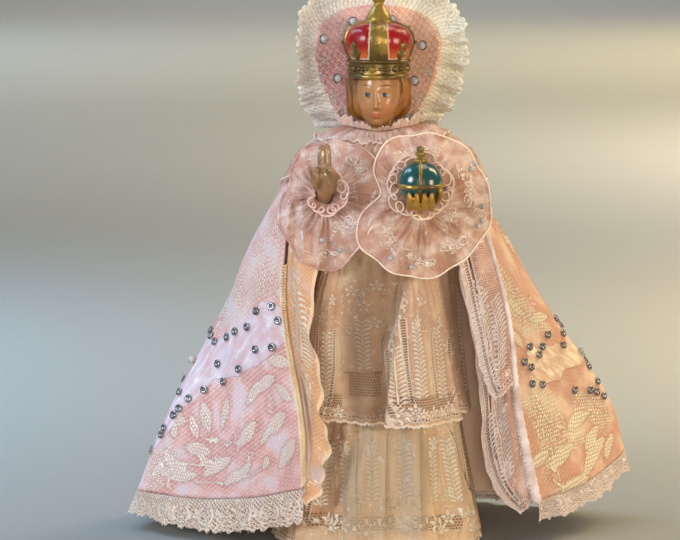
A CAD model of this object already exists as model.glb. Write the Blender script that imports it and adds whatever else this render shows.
"""A crowned child figure, cast and painted, dressed in lace, satin and chiffon.

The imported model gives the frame. Each garment is worked out here as a fine surface over the same forms, with its
folds, lace, edges and trimmings, and so is the cast figure with its painting. Lengths are millimetres, and become
metres where a mesh is made. The front faces -Y, and the figure's left is +X. In a grid, u runs along the columns,
towards the figure's left, and v down the rows. A turn is measured from the front towards the figure's left.
"""

import logging
import math
from collections.abc import Callable
from dataclasses import dataclass
from enum import Enum

import bpy
import numpy as np
from numpy import cos, pi, sin
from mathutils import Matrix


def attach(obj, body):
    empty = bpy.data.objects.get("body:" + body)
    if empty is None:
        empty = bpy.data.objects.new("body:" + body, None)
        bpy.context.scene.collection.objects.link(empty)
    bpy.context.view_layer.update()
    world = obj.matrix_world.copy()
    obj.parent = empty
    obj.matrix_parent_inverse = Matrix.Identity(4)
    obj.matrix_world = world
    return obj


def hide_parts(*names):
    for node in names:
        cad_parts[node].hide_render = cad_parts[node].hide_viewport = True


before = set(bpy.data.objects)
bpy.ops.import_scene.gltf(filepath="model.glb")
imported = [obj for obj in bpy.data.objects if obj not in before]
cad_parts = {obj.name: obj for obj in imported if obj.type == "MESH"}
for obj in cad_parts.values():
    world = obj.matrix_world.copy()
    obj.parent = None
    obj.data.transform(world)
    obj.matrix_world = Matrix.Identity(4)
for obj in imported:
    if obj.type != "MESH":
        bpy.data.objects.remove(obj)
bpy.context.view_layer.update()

log = logging.getLogger("statuette")
Array = np.ndarray
Number = Array | float
Piece = bpy.types.Object
Colour = tuple[float, float, float]
Tones = tuple[Colour, ...]  # one colour, or one towards the figure's right and one towards its left
MM = 0.001
TURN = 2 * pi
BODY = "root"
FAR = 99.0  # a distance past every edge
UP = np.array([0.0, 0.0, 1.0])


# Shapes of curves and surfaces, on whole arrays


def ease(x: Number, low: float, high: float) -> Array:
    """A smooth rise from 0 at low to 1 at high: t * t * (3 - 2 t), with t the share of the way between them."""
    t = np.clip((np.asarray(x, float) - low) / (high - low), 0, 1)
    return t * t * (3 - 2 * t)


def mix(a: Number, b: Number, share: Number) -> Array:
    """The value a share of the way from a to b."""
    return a + (b - a) * share


def bump(x: Array, centre: float, width: float) -> Array:
    """A bell curve, 1 at its centre and exp(-1) one width from it."""
    return np.exp(-(((x - centre) / width) ** 2))


def signed_turn(turn: Array) -> Array:
    """A turn brought between minus and plus half a turn."""
    return np.arctan2(sin(turn), cos(turn))


def turn_bump(turn: Array, centre: Number, width: float) -> Array:
    """A bell curve over a turn."""
    return bump(signed_turn(turn - centre), 0, width)


def oval(turn: Array, side: Number, depth: Number) -> Array:
    """The radius of an ellipse at a turn: 1 / hypot(sin / side, cos / depth)."""
    return 1 / np.hypot(sin(turn) / side, cos(turn) / depth)


def front_to_back(turn: Array, front: Number, back: Number) -> Array:
    """front at turn 0 and back half a turn on, by (1 - cos) / 2."""
    return mix(front, back, (1 - cos(turn)) / 2)


def stack(x: Number, y: Number, z: Number) -> Array:
    """Places from their three coordinates."""
    return np.stack(np.broadcast_arrays(*(np.asarray(n, float) for n in (x, y, z))), -1)


def around(turn: Number, radius: Number, z: Number) -> Array:
    """Places at a turn and a radius from the upright axis."""
    return stack(radius * sin(turn), -radius * cos(turn), z)


def unit(v: Array) -> Array:
    """Vectors brought to length 1."""
    return v / np.maximum(np.linalg.norm(v, axis=-1, keepdims=True), 1e-9)


def grid(rows: int, columns: int) -> tuple[Array, Array]:
    """The shares u and v of a grid, from 0 to 1, each of shape (rows, columns)."""
    return np.meshgrid(np.linspace(0, 1, columns), np.linspace(0, 1, rows))


def front_turn(u: Array, crowd: float = 0.45) -> Array:
    """Turns from the back round to the back, closer together at the front: the turn less crowd times its sine."""
    return TURN * (u - 0.5) - crowd * sin(TURN * (u - 0.5))


def through(points: list | Array, s: Array) -> Array:
    """A smooth curve through several places.

    Each span is the cubic whose end slopes come from its neighbours, spaced by the square root of their distances
    (a centripetal Catmull-Rom curve).

    Args:
        points: the places.
        s: shares of the way from the first to the last, by number of places.

    Returns:
        The places on the curve, of shape s.shape + (3,).
    """
    p = np.asarray(points, float)
    p = np.concatenate([2 * p[:1] - p[1:2], p, 2 * p[-1:] - p[-2:-1]])
    step = np.clip(np.asarray(s, float), 0, 1) * (len(p) - 3)
    i = np.minimum(step.astype(int), len(p) - 4)
    k = (step - i)[..., None]
    a, b, c, d = (p[i + n] for n in range(4))
    ab, bc, cd = (np.sqrt(np.linalg.norm(y - x, axis=-1, keepdims=True)) for x, y in ((a, b), (b, c), (c, d)))
    leave = ((b - a) / ab - (c - a) / (ab + bc) + (c - b) / bc) * bc
    reach = ((c - b) / bc - (d - b) / (bc + cd) + (d - c) / cd) * bc
    return b + leave * k + (3 * (c - b) - 2 * leave - reach) * k**2 + (2 * (b - c) + leave + reach) * k**3


def cubic(levels: Array, rows: Array, at: Array) -> Array:
    """Rows of values joined by cubics whose slopes come from the rows beside them.

    Args:
        levels: the level of each row.
        rows: the values, (levels, ...), the same shape as at beyond the first axis, or one number a level.
        at: the levels wanted.

    Returns:
        The value at each.
    """
    i = np.clip(np.searchsorted(levels, at, side="left") - 1, 0, len(levels) - 2)
    before, after = np.maximum(0, i - 1), np.minimum(len(levels) - 1, i + 2)
    places = rows.ndim > 1
    pick = lambda n: np.take_along_axis(rows, n[None, ..., None], 0)[0] if places else rows[n]
    wide = lambda a: a[..., None] if places else a
    span = levels[i + 1] - levels[i]
    k = wide(np.clip((at - levels[i]) / span, 0, 1))
    slope = lambda a, b: (pick(b) - pick(a)) * wide(span / (levels[b] - levels[a]))
    middle = mix(pick(i), pick(i + 1), 3 * k**2 - 2 * k**3)
    return middle + slope(before, i + 1) * (k**3 - 2 * k**2 + k) + slope(i, after) * (k**3 - k**2)


def run(places: Array, axis: int) -> Array:
    """Distance run along a grid of places, down its rows for axis 0 and along its columns for axis 1."""
    steps = np.cumsum(np.linalg.norm(np.diff(places, axis=axis), axis=-1), axis=axis)
    return np.concatenate([np.zeros_like(steps[:1] if axis == 0 else steps[:, :1]), steps], axis=axis)


def facing(places: Array, closed: bool) -> Array:
    """Outward unit normals of a grid."""
    wide = np.concatenate([places[:, -2:-1], places, places[:, 1:2]], 1) if closed else places
    across = (wide[:, 2:] - wide[:, :-2]) / 2 if closed else np.gradient(places, axis=1)
    return unit(np.cross(np.gradient(places, axis=0), across))


def rolled(places: Array, radius: float, rows: int = 7, sweep: float = 4.6) -> Array:
    """A closed grid with its last row turned over into a rolled hem.

    Each added row goes on from the last one round a circle: radius times sin(angle) onwards, and radius times
    (1 - cos(angle)) outwards.

    Args:
        places: the grid.
        radius: radius of the roll.
        rows: rows to add.
        sweep: angle of the roll.

    Returns:
        The grid with the rows added.
    """
    onward, out = unit(places[-1] - places[-3]), facing(places, True)[-1]
    angle = np.linspace(0, sweep, rows + 1)[1:, None, None]
    return np.concatenate([places, places[-1] + radius * (sin(angle) * onward + (1 - cos(angle)) * out)])


def ball(centre: Array | tuple, radius: Colour | float, rows: int = 9, columns: int = 15) -> Array:
    """A round or oval ball's grid: its radius times the cosine of its rise round each level, from top to foot."""
    u, v = grid(rows, columns)
    rise = (0.5 - v) * pi
    return np.asarray(centre) + np.asarray(radius) * around(u * TURN, cos(rise), sin(rise))


def turned(profile: list, rows: int, columns: int, centre: tuple[float, float] = (0.0, 0.0)) -> Array:
    """A turned form: a smooth line of radius and height, from the top down, carried round an upright axis.

    Args:
        profile: pairs of radius and height.
        rows: levels.
        columns: places round a level.
        centre: the axis.

    Returns:
        The grid.
    """
    u, v = grid(rows, columns)
    level = through([(r, 0, h) for r, h in profile], v)
    return around(u * TURN, np.maximum(level[..., 0], 0), level[..., 2]) + np.array([*centre, 0.0])


@dataclass(frozen=True)
class Camera:
    """The photograph's view: where the camera stands and how it looks."""

    place: tuple[float, float, float] = (0.0, -1470.0, 421.0)
    pitch: float = math.radians(8.75)
    yaw: float = math.atan(40 / 2100)
    focal: float = 2100.0
    size: tuple[int, int] = (680, 540)

    def pixels(self, places: Array) -> Array:
        """Columns and rows in the picture, (..., 2), of places, (..., 3)."""
        right = np.array([cos(self.yaw), sin(self.yaw), 0])
        level = np.array([-sin(self.yaw), cos(self.yaw), 0])
        ahead = level * cos(self.pitch) - UP * sin(self.pitch)
        up = level * sin(self.pitch) + UP * cos(self.pitch)
        far = places - np.array(self.place)
        scale = self.focal / (far @ ahead)
        return np.stack([self.size[0] / 2 + far @ right * scale, self.size[1] / 2 - far @ up * scale], -1)

    def build(self) -> None:
        """Makes the scene's camera."""
        data = bpy.data.cameras.new("camera")
        data.sensor_width = 36
        data.lens = 36 * self.focal / self.size[0]
        made = bpy.data.objects.new("camera", data)
        made.location = [n * MM for n in self.place]
        made.rotation_euler = (pi / 2 - self.pitch, 0, self.yaw)
        bpy.context.collection.objects.link(made)
        bpy.context.scene.camera = made


CAMERA = Camera()


# Cloth and ornament


class Work(Enum):
    """Kinds of work on a cloth, each held as how deep every place lies inside it."""

    MOTIF = "worked leaves and cords"
    SHADE = "deep parts of the folds"
    HOLES = "holed net"
    PATCH = "smooth patches"
    STITCHES = "dense stitching"


@dataclass
class Cloth:
    """A surface of cloth on a grid, with its own flat coordinates and the lace that is worked on it."""

    places: Array
    across: Array
    down: Array
    closed: bool = False
    edge: Array | None = None
    net: Array | None = None
    lined: bool = False

    def __post_init__(self) -> None:
        """Fills what isn't given: distances to the edges, and no lace anywhere."""
        length = run(self.places, 0)
        self.edge = length[-1:] - length if self.edge is None else self.edge
        self.net = stack(self.across, self.down, 0) if self.net is None else self.net
        far = np.full(self.across.shape, FAR)
        self.work = {kind: -far for kind in Work}
        self.band, self.aside, self.away = far * 0, far, far
        self.ferns, self.blooms = stack(far, far, -far), stack(far, far, 0 * far)

    def fields(self) -> dict[str, Array]:
        """The values that its material reads, by attribute name."""
        return {
            "cloth": stack(self.across, self.down, self.work[Work.MOTIF]),
            "trim": stack(self.edge, self.work[Work.SHADE], self.work[Work.PATCH]),
            "band": stack(self.band, self.aside, self.work[Work.HOLES]),
            "net": stack(self.net[..., 0], self.net[..., 1], self.work[Work.STITCHES]),
            "fern": self.ferns,
            "bloom": self.blooms,
        }

    def spots(self, pixels: list | Array) -> tuple[Array, Array]:
        """The grid's rows and columns nearest to pixels of the photograph, among the cloth that faces the camera.

        Args:
            pixels: columns and rows in the photograph, (n, 2).

        Returns:
            Row and column of each.
        """
        towards = unit(np.array(CAMERA.place) - self.places)
        hidden = (facing(self.places, self.closed) * towards).sum(-1) < 0.02
        seen = CAMERA.pixels(self.places)
        gap = np.linalg.norm(np.asarray(pixels, float)[:, None, None] - seen, axis=-1) + 60.0 * hidden
        return np.unravel_index(gap.reshape(len(gap), -1).argmin(1), hidden.shape)

    def flat(self, pixels: list | Array) -> Array:
        """Cloth coordinates of the spots at pixels of the photograph, (n, 2)."""
        rows, columns = self.spots(pixels)
        return np.stack([self.across[rows, columns], self.down[rows, columns]], -1)

    def spot(self, column: float, row: float) -> Array:
        """Cloth coordinates of the spot at one pixel."""
        return self.flat([(column, row)])[0]

    def each(self, make: Callable, *lines: tuple) -> None:
        """Works one kind of ornament along several lines of pixels."""
        for pixels in lines:
            make(self.flat(pixels))

    def beside(self, a: Array, b: Array, least: float = 1e-6) -> tuple[Array, Array, Array, float]:
        """Measures every place against the way from a to b.

        Args:
            a: cloth coordinates of the start.
            b: cloth coordinates of the end.
            least: the least length that the way counts for.

        Returns:
            Distance along the way, signed distance aside, distance from the stretch itself, and the way's length.
        """
        way = b - a
        length = max(float(np.hypot(*way)), least)
        x, y = self.across - a[0], self.down - a[1]
        along = (x * way[0] + y * way[1]) / length
        t = np.clip(along, 0, length) / length
        return along, (x * way[1] - y * way[0]) / length, np.hypot(x - way[0] * t, y - way[1] * t), length

    def add(self, kind: Work, depth: Array) -> None:
        """Adds work, by how deep each place lies inside it."""
        self.work[kind] = np.maximum(self.work[kind], depth)

    def leaf(self, start: Array, end: Array, width: float) -> None:
        """Adds a pointed leaf: half its width times (1 - (share along)^2), less the distance from its middle line."""
        along, aside, _, half = self.beside((start + end) / 2, end, 0.5)
        self.add(Work.MOTIF, width / 2 * (1 - (along / half) ** 2) - np.abs(aside))

    def ring(self, centre: Array, radius: float, half: float) -> None:
        """Adds a ring: half its width less the distance from its circle."""
        away = np.hypot(self.across - centre[0], self.down - centre[1])
        self.add(Work.MOTIF, half - np.abs(away - radius))

    def distance(self, line: Array) -> tuple[Array, Array]:
        """Distance from a line of cloth coordinates and distance run along it, at each place of the grid.

        Args:
            line: the line's points, (n, 2).

        Returns:
            Signed distance from the nearest stretch, and the length run to it, which goes on past both ends.
        """
        best, done, last = np.full(self.across.shape, 1e6), 0.0, len(line) - 2
        aside, along = best, best * 0
        for n, (a, b) in enumerate(zip(line[:-1], line[1:])):
            on, off, gap, length = self.beside(a, b)
            on = np.clip(on, 0 if n else -FAR, length if n < last else length + FAR)
            nearer = gap < best
            best, aside = np.where(nearer, gap, best), np.where(nearer, np.where(off < 0, -gap, gap), aside)
            along = np.where(nearer, done + on, along)
            done += length
        return aside, along

    def stem(self, line: Array, half: float = 0.7) -> None:
        """Adds a cord of worked lace along a line."""
        self.add(Work.MOTIF, half - np.abs(self.distance(line)[0]))

    def ladder(self, line: Array) -> None:
        """Adds a ladder of open work along a line, where it is nearer than the ladders there are."""
        aside, along = self.distance(line)
        nearer = np.abs(aside) < np.abs(self.aside)
        self.aside, self.band = np.where(nearer, aside, self.aside), np.where(nearer, along, self.band)

    def fern(self, line: Array) -> None:
        """Grows a fern along a line, where it is nearer than other ferns; its leaves are drawn by the material."""
        aside, along = self.distance(line)
        left = np.minimum(along, np.hypot(*np.diff(line, axis=0).T).sum() - along)
        nearer = (np.abs(aside) < np.abs(self.ferns[..., 0])) & (left > -3)
        self.ferns = np.where(nearer[..., None], stack(aside, along, left), self.ferns)

    def flower(self, centre: Array, size: float) -> None:
        """Sets a flower, or a palmette where the size is below zero; its petals are drawn by the material."""
        x, y = self.across - centre[0], self.down - centre[1]
        away = np.hypot(x, y) / abs(size)
        nearer = away < self.away
        self.away = np.where(nearer, away, self.away)
        self.blooms = np.where(nearer[..., None], stack(x, y, np.where(away < 1.5, size, 0)), self.blooms)

    def scroll(self, centre: Array, size: float, hand: int, start: float) -> None:
        """Adds a scroll: a spiral cord whose radius shrinks to a fifth over a turn and a half."""
        share = np.linspace(0, 1, 26)
        angle, radius = start + hand * share * TURN * 1.4, size * mix(1, 0.18, share)
        self.stem(centre + np.stack([radius * cos(angle), radius * sin(angle)], -1), size * 0.1)

    def spray(self, centre: Array, size: float, aside: float, curl: float, starts: tuple) -> None:
        """Sets a flower with a scroll at its left and at its right, whose angles start as given."""
        self.flower(centre, size)
        for hand, start in zip((1, -1), starts):
            self.scroll(centre + [hand * aside, 4.0], curl, hand, start)

    def area(self, kind: Work, *patches: tuple) -> None:
        """Adds work inside polygons of pixels: the signed distance inside each polygon of cloth coordinates."""
        for corners in map(self.flat, patches):
            nearest, inside = np.full(self.across.shape, 1e6), np.zeros(self.across.shape, bool)
            for a, b in zip(corners, np.roll(corners, -1, 0)):
                nearest = np.minimum(nearest, self.beside(a, b)[2])
                way = b - a
                rise = way[1] if abs(way[1]) > 1e-9 else 1e-9
                spans = (a[1] > self.down) != (b[1] > self.down)
                inside ^= spans & (self.across < a[0] + (self.down - a[1]) * way[0] / rise)
            self.add(kind, np.where(inside, nearest, -nearest))

    def scalloped(self, line: Array, size: float = 2.6) -> None:
        """Adds a lace edge along a line: a cord with small rings beside it."""
        self.stem(line, size * 0.3)
        lengths = np.concatenate([[0], np.cumsum(np.hypot(*np.diff(line, axis=0).T))])
        for at in np.arange(size, lengths[-1], size * 2.1):
            centre = np.array([np.interp(at, lengths, line[:, n]) for n in (0, 1)])
            self.ring(centre + [size * 0.9, 0], size * 0.7, size * 0.24)


class Shape:
    """Gathers grids into one closed mesh, with the values that its material reads at each corner."""

    def __init__(self) -> None:
        """Starts with nothing."""
        self.places: list[Array] = []
        self.spots: list[Array] = []
        self.quads: list[Array] = []
        self.values: dict[str, list[Array]] = {}
        self.count = 0

    def take(self, places: Array, fields: dict[str, Array] | None, closed: bool, poles: bool) -> Array:
        """Takes in a grid's places and values.

        Args:
            places: the grid.
            fields: values by attribute name.
            closed: whether the last column is the first.
            poles: whether the first and the last row are each one point.

        Returns:
            The numbers of the grid's places.
        """
        ids = self.count + np.arange(places[..., 0].size).reshape(places.shape[:2])
        spots = ids.copy()
        if closed:
            spots[:, -1] = spots[:, 0]
        if poles:
            spots[0], spots[-1] = spots[0, 0], spots[-1, 0]
        self.places.append(places.reshape(-1, 3))
        self.spots.append(spots.ravel())
        for name, value in (fields or {}).items():
            self.values.setdefault(name, []).append(value.reshape(-1, 3))
        self.count += ids.size
        return ids

    def face(self, n: Array, flip: bool = False) -> None:
        """Adds a face between every four neighbours of a grid of numbers, turned round if flip is set."""
        quads = np.stack([a.ravel() for a in (n[:-1, :-1], n[1:, :-1], n[1:, 1:], n[:-1, 1:])], 1)
        self.quads.append(quads[:, ::-1] if flip else quads)

    def skin(self, places: Array, fields: dict[str, Array] | None = None, **kind: bool) -> "Shape":
        """Adds a grid as a skin.

        Args:
            places: the grid.
            fields: values by attribute name.
            **kind: closed and poles as for take, both true if left out, and flip, which turns its faces round.

        Returns:
            The shape itself.
        """
        ids = self.take(places, fields, kind.get("closed", True), kind.get("poles", True))
        self.face(ids, kind.get("flip", False))
        return self

    def balls(self, centres: Array, radius: Colour | float, rows: int, columns: int) -> "Shape":
        """Adds a ball at each place."""
        for centre in np.reshape(centres, (-1, 3)):
            self.skin(ball(centre, radius, rows, columns))
        return self

    def shell(self, cloth: Cloth, thickness: float) -> "Shape":
        """Adds cloth as a closed shell: its face, its back one thickness in, and a rim between the two.

        Args:
            cloth: the surface and its values.
            thickness: distance between face and back.

        Returns:
            The shape itself.
        """
        back = cloth.places - facing(cloth.places, cloth.closed) * thickness
        n = self.take(cloth.places, cloth.fields(), cloth.closed, False)
        if cloth.lined:
            cloth.add(Work.PATCH, FAR)
        m = self.take(back, cloth.fields(), cloth.closed, False)
        self.face(n)
        self.face(m, True)
        self.face(np.stack([n[-1], m[-1]]))
        self.face(np.stack([m[0], n[0]]))
        if not cloth.closed:
            self.face(np.stack([m[:, 0], n[:, 0]], 1))
            self.face(np.stack([n[:, -1], m[:, -1]], 1))
        return self

    def tube(self, path: Array, radius: Number | list, sides: int = 10, flat: float = 1.0) -> "Shape":
        """Adds a round-ended tube: circles across a path, each turned as little as the path lets it.

        Args:
            path: the middle line, (n, 3).
            radius: its radius, or one for each point.
            sides: faces round it.
            flat: depth of its section as a share of its width.

        Returns:
            The shape itself.
        """
        path = np.asarray(path, float)
        radius = np.broadcast_to(np.asarray(radius, float), len(path))
        ahead = unit(np.gradient(path, axis=0))
        cap = np.array([0.95, 0.75, 0.4, 0])
        end = lambda i, way: path[i] + way * ahead[i] * radius[i] * np.sqrt(1 - cap[:, None] ** 2)
        line = np.concatenate([end(0, -1)[::-1], path, end(-1, 1)])
        wide = np.concatenate([(radius[0] * cap)[::-1], radius, radius[-1] * cap])
        heading = np.concatenate([np.repeat(ahead[:1], len(cap), 0), ahead, np.repeat(ahead[-1:], len(cap), 0)])
        reference = np.where(np.abs(heading.mean(0)).argmin() == np.arange(3), 1.0, 0.0)
        side = unit(np.cross(heading, reference))
        angle = np.linspace(0, TURN, sides + 1)[None, :, None]
        ring = side[:, None] * cos(angle) + flat * np.cross(heading, side)[:, None] * sin(angle)
        return self.skin(line[:, None] + wide[:, None, None] * ring, flip=True)

    def finish(self, name: str, finish: "Finish", slot: str, node: str, fuse: float = 0.0) -> Piece:
        """Makes the mesh and dresses it.

        Args:
            name: the piece's name.
            finish: its material.
            slot: the record's material slot.
            node: the CAD node that it stands for.
            fuse: finest detail kept where its overlapping skins are joined into one soft skin, or 0 to leave them.

        Returns:
            The new piece, in place, riding on the body and standing for its node.
        """
        spots, quads = np.concatenate(self.spots), np.concatenate(self.quads)
        used, corner = np.unique(spots[quads], return_inverse=True)
        corner = corner.reshape(quads.shape)
        keep = corner != np.roll(corner, 1, 1)
        whole = keep.sum(1) > 2
        keep, corner, rows = keep[whole], corner[whole], quads[whole]
        totals = keep.sum(1)
        mesh = bpy.data.meshes.new(name)
        mesh.vertices.add(len(used))
        mesh.vertices.foreach_set("co", (np.concatenate(self.places)[used] * MM).astype(np.float32).ravel())
        mesh.loops.add(int(totals.sum()))
        mesh.loops.foreach_set("vertex_index", corner[keep].astype(np.int32))
        mesh.polygons.add(len(totals))
        mesh.polygons.foreach_set("loop_start", np.concatenate([[0], np.cumsum(totals)[:-1]]).astype(np.int32))
        mesh.polygons.foreach_set("use_smooth", np.ones(len(totals), bool))
        for key, value in self.values.items():
            made = mesh.attributes.new(key, "FLOAT_VECTOR", "CORNER")
            made.data.foreach_set("vector", np.concatenate(value)[rows[keep]].astype(np.float32).ravel())
        mesh.update(calc_edges=True)
        mesh.validate()
        piece = bpy.data.objects.new(name, mesh)
        bpy.context.collection.objects.link(piece)
        if fuse:
            remesh = piece.modifiers.new("fuse", "REMESH")
            remesh.mode, remesh.voxel_size, remesh.use_smooth_shade = "VOXEL", fuse * MM, True
            smooth = piece.modifiers.new("soften", "SMOOTH")
            smooth.iterations, smooth.factor = 4, 0.5
            mesh = bpy.data.meshes.new_from_object(piece.evaluated_get(bpy.context.evaluated_depsgraph_get()))
            piece.modifiers.clear()
            piece.data = mesh
        mesh.materials.clear()
        mesh.materials.append(finish.material())
        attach(piece, BODY)
        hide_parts(node)
        log.info("%s: %d faces", piece.name, len(mesh.polygons))
        return piece


@dataclass(frozen=True)
class Cut:
    """How a cloth is cut and held: its flat size in metres, what carries it, and its area if not a rectangle."""

    flat: tuple[float, float]
    held: str
    on: str
    area: float | None = None

    def sew(self, cloth: Cloth, piece: Piece) -> Piece:
        """Declares a piece as cloth of this cut, and logs the lengths and the area that it has now."""
        corner = cloth.places[:-1, :-1]
        now = np.linalg.norm(np.cross(cloth.places[1:, :-1] - corner, cloth.places[:-1, 1:] - corner), axis=-1).sum()
        width, length = run(cloth.places, 1)[:, -1].max(), run(cloth.places, 0)[-1].max()
        log.info("%s: %.0f by %.0f mm, %.4f square metres", piece.name, width, length, now * MM * MM)
        return piece


# Finishes


class Graph:
    """A node tree with short ways to add nodes and join them."""

    def __init__(self, tree: bpy.types.NodeTree) -> None:
        """Works on a tree."""
        self.tree = tree

    def node(self, kind: str, inputs: dict | None = None, **settings: object) -> bpy.types.Node:
        """Adds a node.

        Args:
            kind: its type.
            inputs: a value or an output for each named or numbered socket.
            **settings: its properties.

        Returns:
            The node.
        """
        made = self.tree.nodes.new(kind)
        for name, value in settings.items():
            setattr(made, name, value)
        for key, value in (inputs or {}).items():
            self.feed(made.inputs[key], value)
        return made

    def first(self, kind: str, inputs: dict, **settings: object) -> "Value":
        """The first output of a new node."""
        return Value(self, self.node(f"ShaderNode{kind}", inputs, **settings).outputs[0])

    def feed(self, socket: bpy.types.NodeSocket, value: object) -> None:
        """Joins a value to a socket, or sets the socket's own value."""
        if isinstance(value, Value):
            self.tree.links.new(value.socket, socket)
        else:
            socket.default_value = (*value, 1.0) if socket.type == "RGBA" and len(value) == 3 else value

    def field(self, name: str) -> "Value":
        """A vector attribute of the piece."""
        return Value(self, self.node("ShaderNodeAttribute", attribute_name=name).outputs["Vector"])

    def where(self) -> "Value":
        """The place on the piece."""
        return Value(self, self.node("ShaderNodeTexCoord").outputs["Object"])

    def vector(self, x: "Value", y: "Value") -> "Value":
        """A flat vector from two numbers."""
        return self.first("CombineXYZ", {0: x, 1: y})

    def bump(self, height: "Value", depth: float) -> "Value":
        """A normal from a height, its depth in millimetres."""
        return self.first("Bump", {"Height": height, "Distance": depth * MM, "Strength": 1.0})

    def tones(self, split: tuple[float, float], *colours: Tones) -> list["Value"]:
        """Each colour, passing from the figure's right to its left between two places in millimetres."""
        warmth = self.where().parts()[0].ramp(split[0] * MM, split[1] * MM)
        return [warmth.paint(tones[0], tones[-1]) for tones in colours]


@dataclass(frozen=True)
class Value:
    """A number, vector or colour on its way through a node tree; | gives the larger of two and & the smaller."""

    graph: Graph
    socket: bpy.types.NodeSocket

    def math(self, operation: str, other: object = 0.0, clamp: bool = False) -> "Value":
        """The result of one operation on this and another number."""
        return self.graph.first("Math", {0: self, 1: other}, operation=operation, use_clamp=clamp)

    def __add__(self, other: object) -> "Value":
        """The sum."""
        return self.math("ADD", other)

    def __sub__(self, other: object) -> "Value":
        """The difference."""
        return self.math("SUBTRACT", other)

    def __rsub__(self, other: float) -> "Value":
        """The difference from a plain number."""
        return self.graph.first("Math", {0: other, 1: self}, operation="SUBTRACT")

    def __mul__(self, other: object) -> "Value":
        """The product."""
        return self.math("MULTIPLY", other)

    def __truediv__(self, other: object) -> "Value":
        """The quotient."""
        return self.math("DIVIDE", other)

    def __or__(self, other: object) -> "Value":
        """The larger."""
        return self.math("MAXIMUM", other)

    def __and__(self, other: object) -> "Value":
        """The smaller."""
        return self.math("MINIMUM", other)

    def __abs__(self) -> "Value":
        """The size without its sign."""
        return self.math("ABSOLUTE")

    def more(self, other: object) -> "Value":
        """The sum, kept between 0 and 1."""
        return self.math("ADD", other, True)

    def less(self, other: object) -> "Value":
        """The difference, kept between 0 and 1."""
        return self.math("SUBTRACT", other, True)

    def saw(self) -> "Value":
        """How far it lies from the middle of its step of 1."""
        return abs(self.math("FRACT") - 0.5)

    def ramp(self, low: float, high: float, first: float = 0.0, last: float = 1.0) -> "Value":
        """Moved from one range to another, smoothly and kept inside it."""
        places = {"Value": self, "From Min": low, "From Max": high, "To Min": first, "To Max": last}
        return self.graph.first("MapRange", places, interpolation_type="SMOOTHSTEP")

    def paint(self, a: object, b: object) -> "Value":
        """The colour this share of the way from a to b."""
        made = self.graph.node("ShaderNodeMix", {0: self, 6: a, 7: b}, data_type="RGBA")
        return Value(self.graph, made.outputs[2])

    def noise(self, scale: float, detail: float = 2.0, stretch: Colour = (1, 1, 1)) -> "Value":
        """Soft noise over a vector."""
        moved = self.graph.first("Mapping", {"Vector": self, "Scale": stretch})
        return self.graph.first("TexNoise", {"Vector": moved, "Scale": scale, "Detail": detail})

    def parts(self) -> list["Value"]:
        """The three numbers of a vector."""
        return [Value(self.graph, n) for n in self.graph.node("ShaderNodeSeparateXYZ", {0: self}).outputs]


def ladder_net(vector: Value, angle: Value, spacing: Value, rung: Value, width: Value) -> tuple[Value, ...]:
    """Threads at one spacing, joined by rungs that shift from one row to the next: 1 on a thread."""
    turned_to = vector.graph.first("VectorRotate", {"Vector": vector, "Angle": angle}, rotation_type="Z_AXIS")
    x, y, _ = turned_to.parts()
    row = x / spacing
    step = y / rung + row.math("FLOOR") * 0.37
    threads, rungs = ((n.saw() * size / width * -2.0).more(1.6) for n, size in ((row, spacing), (step, rung)))
    return (threads | rungs,)


def round_holes(vector: Value, pitch: Value, size: Value) -> tuple[Value, ...]:
    """Round holes in rows, every other row shifted by half a pitch: 1 in a hole."""
    x, y, _ = vector.parts()
    row = y / pitch
    column = x / pitch + row.math("FLOOR") * 0.5
    a, b = (n.math("FRACT") - 0.5 for n in (column, row))
    return (((size - (a * a + b * b).math("SQRT")) * 8.0).more(0.5),)


def stitching(vector: Value, pitch: Value, length: Value) -> tuple[Value, ...]:
    """Rows of short cords that wander softly: 1 along a cord and 0 between cords and rows."""
    x, y, _ = vector.parts()
    row = y / pitch + vector.noise(0.05, 1.0) * 5.0
    on = x / length + row.math("FLOOR") * 0.618
    return (row.saw().ramp(0.175, 0.4, 1.0, 0.0) * on.saw().ramp(0.275, 0.425, 1.0, 0.0),)


def scribbled(vector: Value, scale: Value, width: Value, share: Value) -> tuple[Value, ...]:
    """Curling cords: the level lines of a noise, kept where a second noise is high: 1 on a cord."""
    curl = vector.graph.first("TexNoise", {"Vector": vector, "Scale": scale, "Detail": 1.0, "Distortion": 1.2})
    kept = ((vector.noise(0.05, 1.0) + share - 1.0) * 16.0).more(0.5)
    return ((abs(curl - 0.5) / width * -2.0).more(1.5) * kept,)


def woven(vector: Value, pitch: Value) -> tuple[Value, ...]:
    """Crossed threads: the product of two waves that run across each other, from 0 to 1."""
    across, along = ((n * TURN / pitch).math("SINE") for n in vector.parts()[:2])
    return (across * along * 0.5 + 0.5,)


def worn(vector: Value, limit: Value, scale: Value) -> tuple[Value, ...]:
    """Small chips in paint, 1 where noise over the surface passes a limit, and grime that varies softly."""
    fine = vector.graph.first("TexNoise", {"Vector": vector, "Scale": scale, "Detail": 4.0})
    return (fine - limit).math("MULTIPLY", 40.0, True), vector.noise(45.0, 4.0)


def fern_leaves(vector: Value, length: Value, pitch: Value, width: Value) -> tuple[Value, ...]:
    """Leaves that arch out of a stem in pairs, from (distance, length along, length left): how deep inside one."""
    aside, along, left = vector.parts()
    away = abs(aside)
    share = away / length
    arch = share * length * (share * -1.1 + 1.5)
    slim = share * (1.0 - share) * 4.0
    return ((slim * width * 0.5 - ((along - arch) / pitch).saw() * pitch | 0.3 - away) & left,)


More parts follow.
